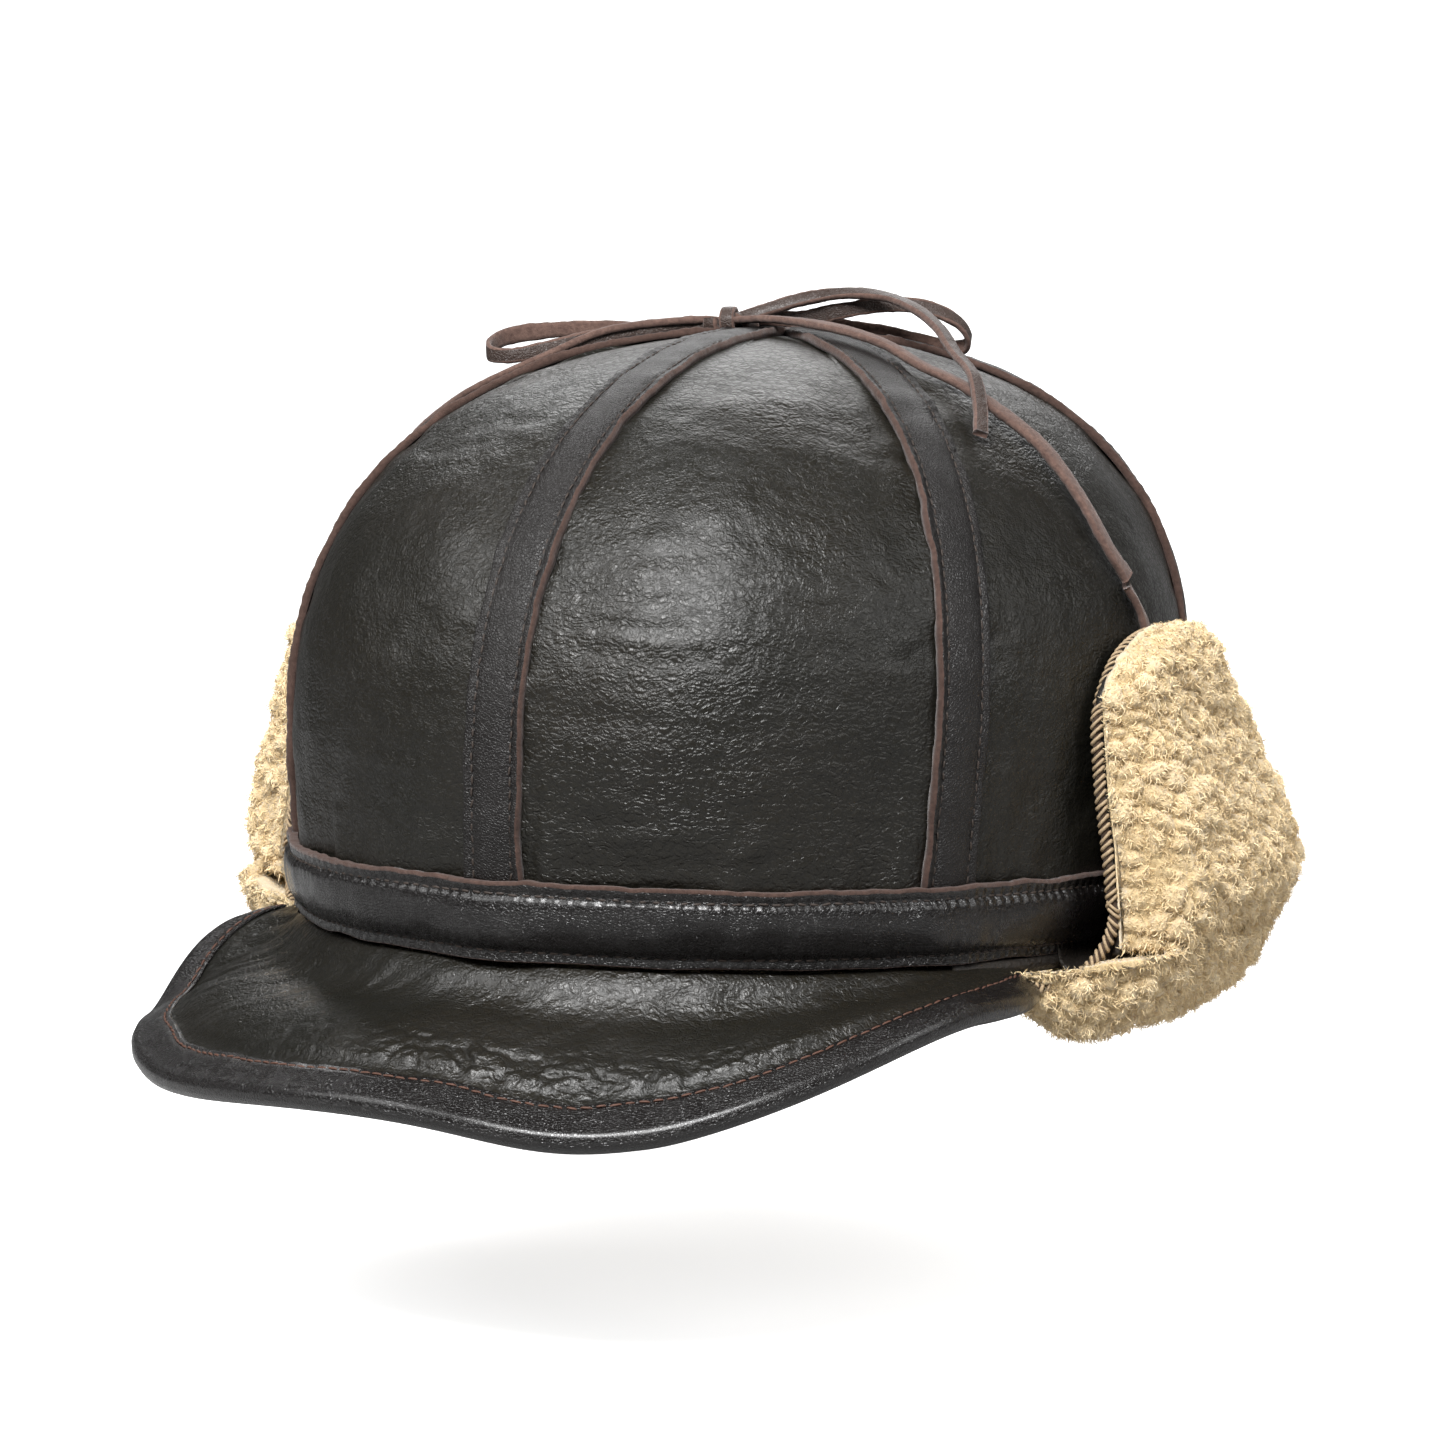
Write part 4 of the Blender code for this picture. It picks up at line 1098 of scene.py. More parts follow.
def cells(p, seed, pitch):
    """Rounded cells: height 0 in the creases to 1 on the domes, and each cell's number."""
    push = np.stack([1.2 * noise(p / 6.5 + 9.0 * c, seed + c) + 0.45 * noise(p / 2.4 + 5.0 * c, seed + 3 + c) for c in range(3)], -1)
    g = (p + push) / pitch
    i = np.floor(g).astype(np.int64)
    d1, d2 = np.full(g.shape[:-1], 9.0), np.full(g.shape[:-1], 9.0)
    num = np.zeros(g.shape[:-1], np.int64)
    for dx in (-1, 0, 1):
        for dy in (-1, 0, 1):
            for dz in (-1, 0, 1):
                x, y, z = i[..., 0] + dx, i[..., 1] + dy, i[..., 2] + dz
                cx = x + 0.5 + 0.42 * _hash(x, y, z, seed)
                cy = y + 0.5 + 0.42 * _hash(x, y, z, seed + 1)
                cz = z + 0.5 + 0.42 * _hash(x, y, z, seed + 2)
                d = np.sqrt((g[..., 0] - cx) ** 2 + (g[..., 1] - cy) ** 2 + (g[..., 2] - cz) ** 2)
                near = d < d1
                d2 = np.where(near, d1, np.minimum(d2, d))
                num = np.where(near, (x * 1009 + y) * 1013 + z, num)
                d1 = np.minimum(d1, d)
    return 0.58 * (1 - np.exp(-((d2 - d1) / 0.26) ** 2)) + 0.42 * (1 - np.minimum(1.0, d1) ** 2), num


WOOL_STOPS = np.array([0.0, 0.35, 0.7, 1.05])
WOOL_TONES = np.array([(0.45, 0.315, 0.150), (0.66, 0.50, 0.270), (0.82, 0.65, 0.395), (0.92, 0.78, 0.53)])


def wool_tint(f):
    return np.stack([np.interp(f, WOOL_STOPS, WOOL_TONES[:, i]) for i in range(3)], -1)


def pile(name, point, nu, nv, seed, hairs, amp=1.75, mask=None, wrap_u=False, hair_len=2.1, pitch=5.0):
    """Nubby fleece: a closed skin raised into rounded curls, coloured with painted shade in the creases, and the short
    fuzz growing off it.
    """
    U, V = np.meshgrid(np.linspace(0, 1, nu, endpoint=not wrap_u), np.linspace(0, 1, nv, endpoint=False), indexing="ij")
    P = point(U, V)
    N = grid_normals(P, wrap_u=wrap_u, wrap_v=True)
    mid = P.mean(axis=1, keepdims=True)
    if np.sum(N * (P - mid)) < 0:
        N = -N
    h, num = cells(P, seed, pitch)
    h2, _ = cells(P, seed + 7, 2.5)
    grain = noise(P / 1.0, seed + 9)
    size = 0.75 + 0.5 * (_hash(num, num // 7, num * 0, seed + 4) * 0.5 + 0.5)
    m = np.ones(U.shape) if mask is None else mask(U, V)
    high = (h * size * 1.35 + 0.28 * h2 + 0.10 * grain) - 0.80
    slow = 1.1 * fbm(P / 17.0, 2, seed + 11)
    P = P + N * ((amp * high + slow) * m)[..., None]
    # painted shade: the tone is lowest in the creases between the curls (h near 0), so the wool is painted darker there
    # and lighter on the domes; the grain and per-cell terms are random tone
    tone = 0.17 + 0.46 * h * size + 0.14 * h2 + 0.07 * grain + 0.07 * _hash(num, num // 3, num * 0, seed + 5)
    tint = wool_tint(tone)
    faces = [grid_quads(nu, nv, wrap_u=wrap_u, wrap_v=True)]
    verts, rgb = P.reshape(-1, 3), tint.reshape(-1, 3)
    if not wrap_u:
        verts = np.concatenate([verts, [P[0].mean(0), P[-1].mean(0)]])
        rgb = np.concatenate([rgb, [tint[0].mean(0), tint[-1].mean(0)]])
        k = np.arange(nv)
        k1 = (k + 1) % nv
        faces.append(np.stack([np.full(nv, nu * nv), k1, k], -1))
        faces.append(np.stack([np.full(nv, nu * nv + 1), (nu - 1) * nv + k, (nu - 1) * nv + k1], -1))
    ob = new_mesh(name, verts, faces, [M_PILE], colour=rgb)
    fix_normals(ob)

    # fuzz, thicker on the domes than in the creases
    rng = np.random.default_rng(seed + 50)
    n = int(hairs * FIB)
    N2 = grid_normals(P, wrap_u=wrap_u, wrap_v=True)
    if np.sum(N2 * N) < 0:
        N2 = -N2
    last = nu if wrap_u else nu - 1
    i1 = (np.arange(last) + 1) % nu
    area = np.linalg.norm(np.cross(P[i1] - P[:last], np.roll(P, -1, 1)[:last] - P[:last]), axis=-1)
    wgt = (area * (m[:last] > 0.5) * (0.45 + 0.55 * h[:last])).ravel()
    cum = np.cumsum(wgt)
    pick = np.searchsorted(cum, rng.uniform(0, cum[-1], n))
    pick = np.clip(pick, 0, len(wgt) - 1)
    pi_, pj = pick // nv, pick % nv
    qi, qj = (pi_ + 1) % nu, (pj + 1) % nv
    fu, fv = rng.uniform(0, 1, (n, 1)), rng.uniform(0, 1, (n, 1))
    root = (P[pi_, pj] * (1 - fu) + P[qi, pj] * fu) * (1 - fv) + (P[pi_, qj] * (1 - fu) + P[qi, qj] * fu) * fv
    nn = N2[pi_, pj] * 0.6 + N[pi_, pj] * 0.4
    ids = num[pi_, pj]
    swirl = np.stack([_hash(ids, ids * 0, ids * 0 + c, seed + 21) for c in range(3)], -1)
    bend = norm(np.cross(nn, swirl + rng.normal(0, 0.55, (n, 3))))
    lean_ = norm(nn + 0.75 * bend + rng.normal(0, 0.22, (n, 3)))
    L = hair_len * rng.uniform(0.65, 1.25, (n, 1))
    kap = rng.uniform(1.2, 2.9, (n, 1))
    other = norm(np.cross(lean_, nn + rng.normal(0, 0.6, (n, 3))))
    pts = []
    for f in (0.0, 0.36, 0.70, 1.0):
        pts.append(root - nn * 0.25 + lean_ * (L * np.sin(kap * f) / kap) + other * (L * (1 - np.cos(kap * f)) / kap) - np.array([0, 0, 0.18]) * L * f * f)
    pts = np.stack(pts, 1)
    side = norm(np.cross(np.gradient(pts, axis=1), rng.normal(0, 1, (n, 1, 3)) + 0 * pts))
    w = 0.5 * np.array([0.22, 0.21, 0.16, 0.05]) * rng.uniform(0.7, 1.2, (n, 1))
    verts = np.stack([pts - side * w[..., None], pts + side * w[..., None]], 2).reshape(-1, 3)
    one = np.array([[2 * j, 2 * j + 1, 2 * j + 3, 2 * j + 2] for j in range(3)])
    hair_faces = (one[None] + (np.arange(n) * 8)[:, None, None]).reshape(-1, 4)
    # each fuzz hair takes the painted crease shade of the skin at its root, growing lighter toward its tip
    base_tone = tone[pi_, pj][:, None] + np.array([0.00, 0.05, 0.10, 0.14])[None] + rng.normal(0, 0.05, (n, 1))
    rgb = np.repeat(wool_tint(base_tone), 2, axis=1).reshape(-1, 3)
    fz = new_mesh(name + "_fuzz", verts, hair_faces, [M_WOOL], colour=rgb)
    return ob, fz


def denser_ends(u, w=0.7):
    return (1 - w) * u + w * (3 * u ** 2 - 2 * u ** 3)


def face_split(v, share=0.18):
    """(on the hide side, height 0..1) for v running up the hide side then down the outside."""
    hide = v < share
    k = np.where(hide, v / share, 1 - (np.clip(v - share, 0, None) / (1 - share)) ** 1.35)
    return hide, k


def overcast(tag, path, skin_n, body, node, pitch=1.85, radius=0.98):
    """A rolled raw edge with whip stitches wound over it, along path; skin_n faces off the hide."""
    both, run = resample(np.concatenate([path, skin_n], 1), 0.55)
    path, up = both[:, :3], norm(both[:, 3:])
    tan = tangents(path)
    up = norm(up - tan * np.sum(up * tan, -1, keepdims=True))
    side = norm(np.cross(tan, up))
    a = np.arange(14) * 2 * pi / 14
    wave = 1 + 0.10 * np.cos(run * 2 * pi / pitch) + 0.10 * noise(np.stack([run / 2.0, run * 0, run * 0 + 4], -1), 61)
    sec = np.stack([np.cos(a)[None] * radius * wave[:, None], np.sin(a)[None] * radius * 1.08 * wave[:, None]], -1)
    sec = sec * (1 + 0.10 * noise(np.stack([np.repeat(run[:, None] / 1.1, 14, 1), np.tile(a * 1.4, (len(run), 1)), 0 * sec[..., 0]], -1), 62))[..., None]
    bead = sweep("edge_roll_" + tag, path, side, up, sec, [M_BEAD])
    if body:
        carry(bead, body, node, slot="tan_overcast_edge")
    at = np.arange(pitch * 0.5, run[-1], pitch)
    rng = np.random.default_rng(int(run[-1] * 10) % 9973)
    at = at + rng.normal(0, 0.12, len(at))
    pick = lambda q: np.stack([np.interp(at, run, q[:, i]) for i in range(3)], 1)
    c, t, sd, u = pick(path), norm(pick(tan)), norm(pick(side)), norm(pick(up))
    m, k = 20, 6
    ang = np.arange(m) * 2 * pi / m
    ring = np.arange(k) * 2 * pi / k
    R = radius + 0.22
    slant = rng.uniform(0.8, 1.3, len(at))[:, None, None]
    rad_dir = sd[:, None] * np.cos(ang)[None, :, None] + u[:, None] * np.sin(ang)[None, :, None]
    centre = c[:, None] + rad_dir * R + t[:, None] * (np.sin(ang)[None, :, None] * slant)
    v = (centre[:, :, None] + rad_dir[:, :, None] * (0.36 * np.cos(ring))[None, None, :, None]
         + t[:, None, None] * (0.52 * np.sin(ring))[None, None, :, None])
    base = grid_quads(m, k, wrap_u=True, wrap_v=True)
    faces = (base[None] + (np.arange(len(at)) * m * k)[:, None, None]).reshape(-1, 4)
    lp = new_mesh("edge_thread_" + tag, v.reshape(-1, 3), faces, [M_WHIP])
    if body:
        carry(lp, body, slot="tan_overcast_edge")
    else:
        for ob in (bead, lp):
            h_ = 1.0 if path[0, 0] > 0 else -1.0
            tuple((flap_xyz(h_, -46.0, 92.0, -8.0) + SHIFT) * MM)
            tuple((flap_xyz(h_, -46.0, 100.0, 2.0) + SHIFT) * MM)
            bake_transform(ob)


def make_flap(side, hand):
    body = "ear_flap_" + side
    sd = 200 if hand > 0 else 400
    tm = 0.5 * (FLAP_FRONT + FLAP_REAR)
    span = FLAP_REAR - FLAP_FRONT
    # skin
    U, V = np.meshgrid(np.linspace(0, 1, 120), np.linspace(0, 1, 90), indexing="ij")
    T = FLAP_FRONT + span * U
    Z = FLAP_BASE - 1.0 + (flap_top(T) - FLAP_BASE + 1.0) * V
    wob = 0.7 * fbm(np.stack([T / 22.0, Z / 22.0, 0 * T + sd], -1), 2, sd) * smooth(0, 0.2, V)
    inner = flap_xyz(hand, T, hide_n(T, Z) + wob, Z)
    outer = flap_xyz(hand, T, hide_n(T, Z) + wob + 1.7, Z)
    ob = shell("flap_skin_" + side, outer, inner, [M_HIDE])
    fix_normals(ob)
    carry(ob, body, "ear_flap_%s_hide" % side, slot="dark_hide")

    # the wool: one closed fleece hugging the hide
    def shape(Uc, Vc):
        u = denser_ends(Uc)
        t = FLAP_FRONT - 0.4 + (span + 0.8) * u
        hide, k = face_split(Vc)
        z = FLAP_BASE + 0.5 + (flap_top(t) + 0.9 - FLAP_BASE) * k
        d = pile_depth(u, k, z) * (1 + 0.22 * smooth(0, 45, t) * (1 - smooth(25, 50, z))) * (0.70 + 0.30 * smooth(-2, 17, z))
        return flap_xyz(hand, t, hide_n(t, z) + np.where(hide, 1.8, 2.0 + 0.93 * d), z)

    def outside(Uc, Vc):
        return smooth(0.17, 0.20, Vc)

    nap, fz = pile("flap_fleece_" + side, shape, 260, 240, sd + 3, 31000, mask=outside)
    carry(nap, body, "ear_flap_%s_wool" % side, slot="cream_wool")
    carry(fz, body, slot="cream_wool")

    # overcast edge: up the front, over the tip, down the back
    top0, top1 = float(flap_top(FLAP_FRONT)), float(flap_top(FLAP_REAR))
    tt = np.linspace(FLAP_FRONT, FLAP_REAR, 60)
    pts = [(FLAP_FRONT - 0.6, z) for z in np.linspace(11.4, top0 - 5, 14)]
    pts += [(FLAP_FRONT + 0.2, top0 - 2.4), (FLAP_FRONT + 2.0, top0 - 0.6)]
    pts += [(t, float(flap_top(t)) - 0.9) for t in tt[3:-3]]
    pts += [(FLAP_REAR - 2.6, top1 + 0.4), (FLAP_REAR - 0.4, top1 - 2.0)]
    pts += [(FLAP_REAR + 0.6, z) for z in np.linspace(top1 - 5, -1.0, 12)]
    pts = np.array(pts)
    for _ in range(3):
        pts[1:-1] = (pts[:-2] + 2 * pts[1:-1] + pts[2:]) / 4
    line = flap_xyz(hand, pts[:, 0], hide_n(pts[:, 0], pts[:, 1]) + 0.2, pts[:, 1])
    nrm_ = np.tile(flap_xyz(hand, 0, 1, 0), (len(line), 1))
    overcast("flap_" + side, line, nrm_, body, "ear_flap_%s_overcast_edge" % side)


for side, hand in (("left", 1.0), ("right", -1.0)):
    make_flap(side, hand)


# ---- the fold of each flap: wool rolled under the rim --------------------------
def rim_point(phi):
    r = crown_radius(phi, np.zeros_like(phi))
    p = np.stack([r * np.sin(phi), -r * np.cos(phi), 0 * r], -1)
    e = 0.01
    q = crown_radius(phi + e, np.zeros_like(phi))
    q = np.stack([q * np.sin(phi + e), -q * np.cos(phi + e), 0 * q], -1)
    t = norm(q - p)
    o = norm(np.cross(t, np.array([0, 0, 1.0])))
    o = np.where(np.sum(o * p, -1, keepdims=True) < 0, -o, o)
    return p, o, t


ROLL = np.array([(-9.0, -1.2), (-7.5, -7.5), (-2.0, -15.0), (6.0, -19.5), (14.5, -18.5), (23.0, -12.5), (28.0, -4.5), (29.5, 3.5),
                 (24.0, 2.0), (16.0, -1.0), (12.0, -4.5), (7.0, -7.0), (1.5, -5.5), (-2.5, -2.4)])


def closed_curve(points, count):
    p = np.concatenate([points[-2:], points, points[:3]])
    out = []
    for i in range(2, len(points) + 2):
        k = np.arange(12)[:, None] / 12.0
        a, b, c, d = p[i - 1], p[i], p[i + 1], p[i + 2]
        out.append(0.5 * (2 * b + (c - a) * k + (2 * a - 5 * b + 4 * c - d) * k * k + (3 * b - a - 3 * c + d) * k ** 3))
    q = np.concatenate(out + [out[0][:1]])
    run = np.concatenate([[0], np.cumsum(np.linalg.norm(np.diff(q, axis=0), axis=1))])
    at = np.linspace(0, run[-1], count, endpoint=False)
    return np.stack([np.interp(at, run, q[:, i]) for i in range(2)], 1), at, run[-1]


SEC_N = 96
ROLL_SEC, ROLL_AT, ROLL_LEN = closed_curve(ROLL, SEC_N)


def roll_size(deg, front, rear):
    """Scale of the roll's section along the rim; the rear roll tapers at both ends, clear of the flaps."""
    if rear > 200:
        deg = np.minimum(deg, front + rear - deg)
    return np.clip(smooth(front - 1.0, front + 17.0, deg), 0.0, 1) * (1 - 0.0 * deg) * (1 - 0.35 * (1 - smooth(0.0, 4.0, rear - deg)))


def roll_surface(phi_deg, k, hand, front, rear, puff=0.0):
    """Points and outward normals of the roll; k in 0..1 round the section."""
    phi = np.radians(phi_deg)
    p, o, t = rim_point(phi)
    p, o = p * np.array([hand, 1, 1]), o * np.array([hand, 1, 1])
    idx = k * SEC_N
    i0 = np.floor(idx).astype(int) % SEC_N
    i1 = (i0 + 1) % SEC_N
    f = (idx - np.floor(idx))[..., None]
    xy = ROLL_SEC[i0] * (1 - f) + ROLL_SEC[i1] * f
    d = ROLL_SEC[(i0 + 3) % SEC_N] - ROLL_SEC[(i0 - 2) % SEC_N]
    nn = norm(np.stack([-d[..., 1], d[..., 0]], -1))
    cen = np.array([9.0, -7.0])
    flip = np.sign(np.sum(nn * (xy - cen), -1, keepdims=True))
    nn = nn * np.where(flip == 0, 1, flip)
    s = roll_size(phi_deg, front, rear)[..., None]
    base = np.array([-4.0, -2.0])
    q = base + (xy - base) * (0.22 + 0.78 * s) * np.array([1.0, 1.0]) + nn * puff
    q = q * np.array([1.0, 1.0])
    pos = p + o * q[..., :1] + np.array([0, 0, 1.0]) * q[..., 1:]
    pos = pos - np.array([0, 0, 1.0]) * (2.2 * (1 - smooth(64, 84, phi_deg)))[..., None]
    nrm_ = norm(o * nn[..., :1] + np.array([0, 0, 1.0]) * nn[..., 1:])
    return pos, nrm_


def build_roll(tag, hand, front, rear, body_blend, seed, count):
    def shape(Uc, Vc):
        deg = front + (rear - front) * Uc
        return roll_surface(deg, Vc, hand, front, rear, -1.6)[0]

    def outside(Uc, Vc):
        return smooth(-0.02, 0.03, Vc) * (1 - smooth(0.60, 0.68, Vc))

    pieces_ = list(pile("fold_fleece_" + tag, shape, 260, 190, seed, count, mask=outside))
    for ob in pieces_:
        if body_blend:
            start = (flap_xyz(hand, 6.0, 91.0, -8.0) + SHIFT) * MM
            end_ = (flap_xyz(hand, 6.0, 113.0, 0.0) + SHIFT) * MM
            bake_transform(ob)
        else:
            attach(ob, "hat")


for side, hand in (("left", 1.0), ("right", -1.0)):
    build_roll(side, hand, 60.0, 134.0, "ear_flap_" + side, 500 if hand > 0 else 600, 26000)
    # the overcast edge runs on under the band
    track = np.array([(-46.6, 103.0, 12.6), (-46.8, 103.3, 7.4), (-48.0, 101.3, 1.5), (-52.0, 97.5, -3.6), (-57.0, 92.8, -5.6), (-63.0, 88.0, -6.4), (-70.0, 82.5, -6.8)])
    track = spline(track, 60)
    line = flap_xyz(hand, track[:, 0], track[:, 1], track[:, 2])
    face = flap_xyz(hand, 0.0 * track[:, 0], 1.0 + 0 * track[:, 0], -0.6 * (1 - smooth(-5, 4, track[:, 2])))
    overcast("fold_" + side, line, norm(face), None, None)
    # the skin that folds round with it
    U, V = np.meshgrid(np.linspace(0, 1, 100), np.linspace(0, 1, 26), indexing="ij")
    T = FLAP_FRONT + (FLAP_REAR - FLAP_FRONT) * U
    key = np.array([(-2.2, 2.0), (-1.6, -1.6), (1.2, -4.6), (5.4, -4.4), (7.6, -0.6), (7.9, 2.0)])
    vv_ = np.linspace(0, 1, len(key))
    sec = np.array([(np.interp(v, vv_, key[:, 0]), np.interp(v, vv_, key[:, 1])) for v in np.linspace(0, 1, 26)])
    for _ in range(3):
        sec[1:-1] = (sec[:-2] + 2 * sec[1:-1] + sec[2:]) / 4
    base_n = flap_skin(T) - FLAP_N + 102.0
    cut = 1.0 - 0.0 * T
    N_ = base_n + sec[None, :, 0]
    Z_ = sec[None, :, 1] + 0 * T
    N_ = np.where(N_ > flap_skin(T), flap_skin(T), N_)
    grid = flap_xyz(hand, T, N_, Z_)
    g2 = flap_xyz(hand, T, N_ + 0.0, Z_ - 1.3)
    ob = shell("fold_skin_" + side, grid, g2, [M_HIDE])
    fix_normals(ob)
    start = (flap_xyz(hand, 6.0, 99.0, -2.0) + SHIFT) * MM
    end_ = (flap_xyz(hand, 6.0, 109.0, 0.0) + SHIFT) * MM
    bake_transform(ob)


# ---- the rim's edge between the bill and the folds ------------------------------
for side, hand in (("left", 1.0), ("right", -1.0)):
    tab_phi = np.radians(np.linspace(54.0, 82.0, 60))
    rp, ro, rt = rim_point(tab_phi)
    flip_ = np.array([hand, 1.0, 1.0])
    tab_sec = np.array([(-6.0, -0.6), (-6.3, -2.4), (-5.0, -3.9), (-1.0, -4.5), (2.0, -3.9), (3.3, -2.2), (2.6, -0.5), (0.0, -0.1), (-3.0, -0.1)])
    rough_ = 1 + 0.05 * noise(np.stack([np.repeat(np.degrees(tab_phi)[:, None] / 2.2, 9, 1), np.tile(np.arange(9) * 1.3, (60, 1)), np.zeros((60, 9))], -1), 140)
    tab = sweep("rim_edge_" + side, rp * flip_, ro * flip_, np.tile(np.array([0, 0, 1.0]), (60, 1)), tab_sec[None] * rough_[..., None], [M_HIDE])
    carry(tab, "hat", slot="dark_hide")


# ---- rear cuff ---------------------------------------------------------------
def cuff_point(deg, z, out):
    phi = np.radians(deg)
    r = crown_radius(phi, z) + 5.5 + out
    return np.stack([r * np.sin(phi), centre_y(z) - r * np.cos(phi), z + 0 * r], -1)


def cuff_top(u):
    return CUFF_HEIGHT + 3.0 * (2 * u - 1) ** 2


CW = 360.0 - 2 * CUFF_EDGE
U, V = np.meshgrid(np.linspace(0, 1, 160), np.linspace(0, 1, 60), indexing="ij")
D_ = CUFF_EDGE + CW * U
Z_ = -1.5 + (cuff_top(U) + 1.5) * V
wob = 0.6 * fbm(np.stack([D_ * 1.9 / 20, Z_ / 20, 0 * U + 9], -1), 2, 77)
ob = shell("cuff_skin", cuff_point(D_, Z_, 1.5 + wob), cuff_point(D_, Z_, 0.0 + wob), [M_HIDE])
fix_normals(ob)
carry(ob, "hat", "rear_cuff_hide", slot="dark_hide")


def cuff_shape(Uc, Vc):
    u = denser_ends(Uc, 0.5)
    deg = CUFF_EDGE - 0.2 + (CW + 0.4) * u
    hide, k = face_split(Vc)
    z = FLAP_BASE - 1.0 + (cuff_top(u) - 0.4 - FLAP_BASE + 1.0) * k
    return cuff_point(deg, z, np.where(hide, 1.8, 2.0 + 0.93 * pile_depth(u, k, z)))


nap, fz = pile("cuff_fleece", cuff_shape, 420, 140, 78, 32000, mask=lambda Uc, Vc: smooth(0.17, 0.20, Vc))
carry(nap, "hat", "rear_cuff_wool", slot="cream_wool")
carry(fz, "hat", slot="cream_wool")
build_roll("rear", 1.0, 131.0, 229.0, None, 700, 28000)
uu = np.linspace(0, 1, 140)
deg = CUFF_EDGE + CW * uu
line = cuff_point(deg, cuff_top(uu) + 0.7, 0.2)
lead = cuff_point(np.full(12, CUFF_EDGE - 0.3), np.linspace(-1.0, float(cuff_top(0.0)) - 3.0, 12), 0.2)
tail_ = cuff_point(np.full(12, 360 - CUFF_EDGE + 0.3), np.linspace(float(cuff_top(0.0)) - 3.0, -1.0, 12), 0.2)
line = np.concatenate([lead, line[2:-2], tail_])
for _ in range(2):
    line[1:-1] = (line[:-2] + 2 * line[1:-1] + line[2:]) / 4
rn = line - np.array([0, 8.0, 0])
rn[:, 2] = 0
overcast("cuff", line, norm(rn), "hat", "rear_cuff_overcast_edge")


# ---- lining ------------------------------------------------------------------
def lining_shape(Uc, Vc):
    phi = (Uc * 2 - 1) * pi
    inside = Vc < 0.7
    s = np.where(inside, Vc / 0.7, (1 - Vc) / 0.3)
    z = crown_z(s, 8.0) * 0.985 + 0.3
    t = np.where(inside, 10.5, 3.6)
    zt = np.minimum(z, CROWN_HEIGHT - t - 0.2)
    return crown_point(phi, zt, t)


nap, fz = pile("lining_fleece", lining_shape, 420, 210, 95, 26000, amp=2.1, wrap_u=True,
               mask=lambda Uc, Vc: smooth(0.0, 0.02, Vc) * (1 - smooth(0.66, 0.70, Vc)), hair_len=1.8)
carry(nap, "hat", *["crown_wool_" + t for t, _, _ in GORES], slot="cream_wool")
carry(fz, "hat", slot="cream_wool")


# ---- laces -------------------------------------------------------------------
LACE_SEC = [(-1.75, -0.75), (-1.92, 0.0), (-1.78, 0.72), (-1.35, 0.88), (0.0, 0.93), (1.35, 0.88), (1.78, 0.72), (1.92, 0.0),
            (1.75, -0.75), (0.9, -0.9), (0.0, -0.86), (-0.9, -0.9)]
LACE_MAT = [1, 1, 1, 0, 0, 1, 1, 1, 1, 1, 1, 1]


def ribbon(name, keys, body="hat", nodes=(), seed=1, wide=1.0, thick=1.0, step=0.7, flesh=False):
    """A leather lace through keys (x, y, z, ux, uy, uz): centre and the way its grain side faces."""
    k = spline(keys, max(12, int(len(keys) * 14)))
    k, run = resample(k, step)
    path, up = k[:, :3], norm(k[:, 3:6])
    tan = tangents(path)
    up = norm(up - tan * np.sum(up * tan, -1, keepdims=True))
    side = norm(np.cross(tan, up))
    sec = np.tile(np.array(LACE_SEC)[None], (len(path), 1, 1)) * np.array([wide, thick])
    w = 1 + 0.09 * noise(np.stack([run / 7.0, run * 0 + seed, run * 0], -1), 31)
    sec[..., 0] *= w[:, None]
    rough = noise(np.stack([np.repeat(run[:, None] / 1.3, sec.shape[1], 1), np.tile(np.arange(sec.shape[1]) * 1.7, (len(run), 1)), 0 * sec[..., 0] + seed], -1), 32)
    sec *= (1 + 0.06 * rough)[..., None]
    sec[..., 1] += (0.12 * np.sin(run / 9.0 + seed) * 1.0)[:, None] * (sec[..., 0] / 1.8)
    ob = sweep(name, path, side, up, sec, [M_LACE, M_LACE_RAW], [1] * 8 + [0] * 4 if flesh else LACE_MAT)
    carry(ob, body, *nodes, slot="lace_leather")
    return ob


def on_crown(points, lift, t=0.0):
    """Keys lying flat on the crown."""
    p = drape(np.array(points, float))
    n = outward(p)
    lift = np.broadcast_to(np.asarray(lift, float), (len(p),)) + 0.5
    return [tuple(a + b * l) + tuple(b) for a, b, l in zip(p, n, lift)]


left_path = [(100.5, -6.5, 84.0), (97.0, -10.5, 91.0), (90.0, -11.0, 102.0), (80.6, -10.0, 112.8), (70.4, -10.4, 120.5),
             (59.5, -9.2, 126.6), (49.8, -10.0, 130.2), (39.9, -9.0, 133.2), (28.6, -7.0, 136.0), (16.0, -3.5, 137.6), (4.0, 0.5, 138.4), (-5.0, 3.4, 138.6)]
ribbon("lace_to_left_flap", on_crown(left_path, [2.2, 2.3, 2.3, 2.2, 2.0, 1.9, 2.1, 3.6, 3.9, 3.6, 3.4, 2.8]), nodes=("lace_run_left",), seed=3, wide=1.06, flesh=True)
right_path = [(-99.5, 3.0, 84.0), (-93.0, -8.0, 95.0), (-80.0, -19.0, 109.0), (-68.0, -25.5, 116.5), (-57.0, -27.5, 122.3), (-46.0, -18.5, 129.2),
              (-35.0, -8.5, 133.6), (-24.0, 0.0, 136.4), (-14.0, 4.5, 138.0), (-10.0, 4.7, 138.2)]
ribbon("lace_to_right_flap", on_crown(right_path, [1.6, 1.6, 1.6, 1.6, 1.6, 1.7, 3.6, 3.4, 3.0, 2.4]), nodes=("lace_run_right",), seed=5, wide=1.06, flesh=True)

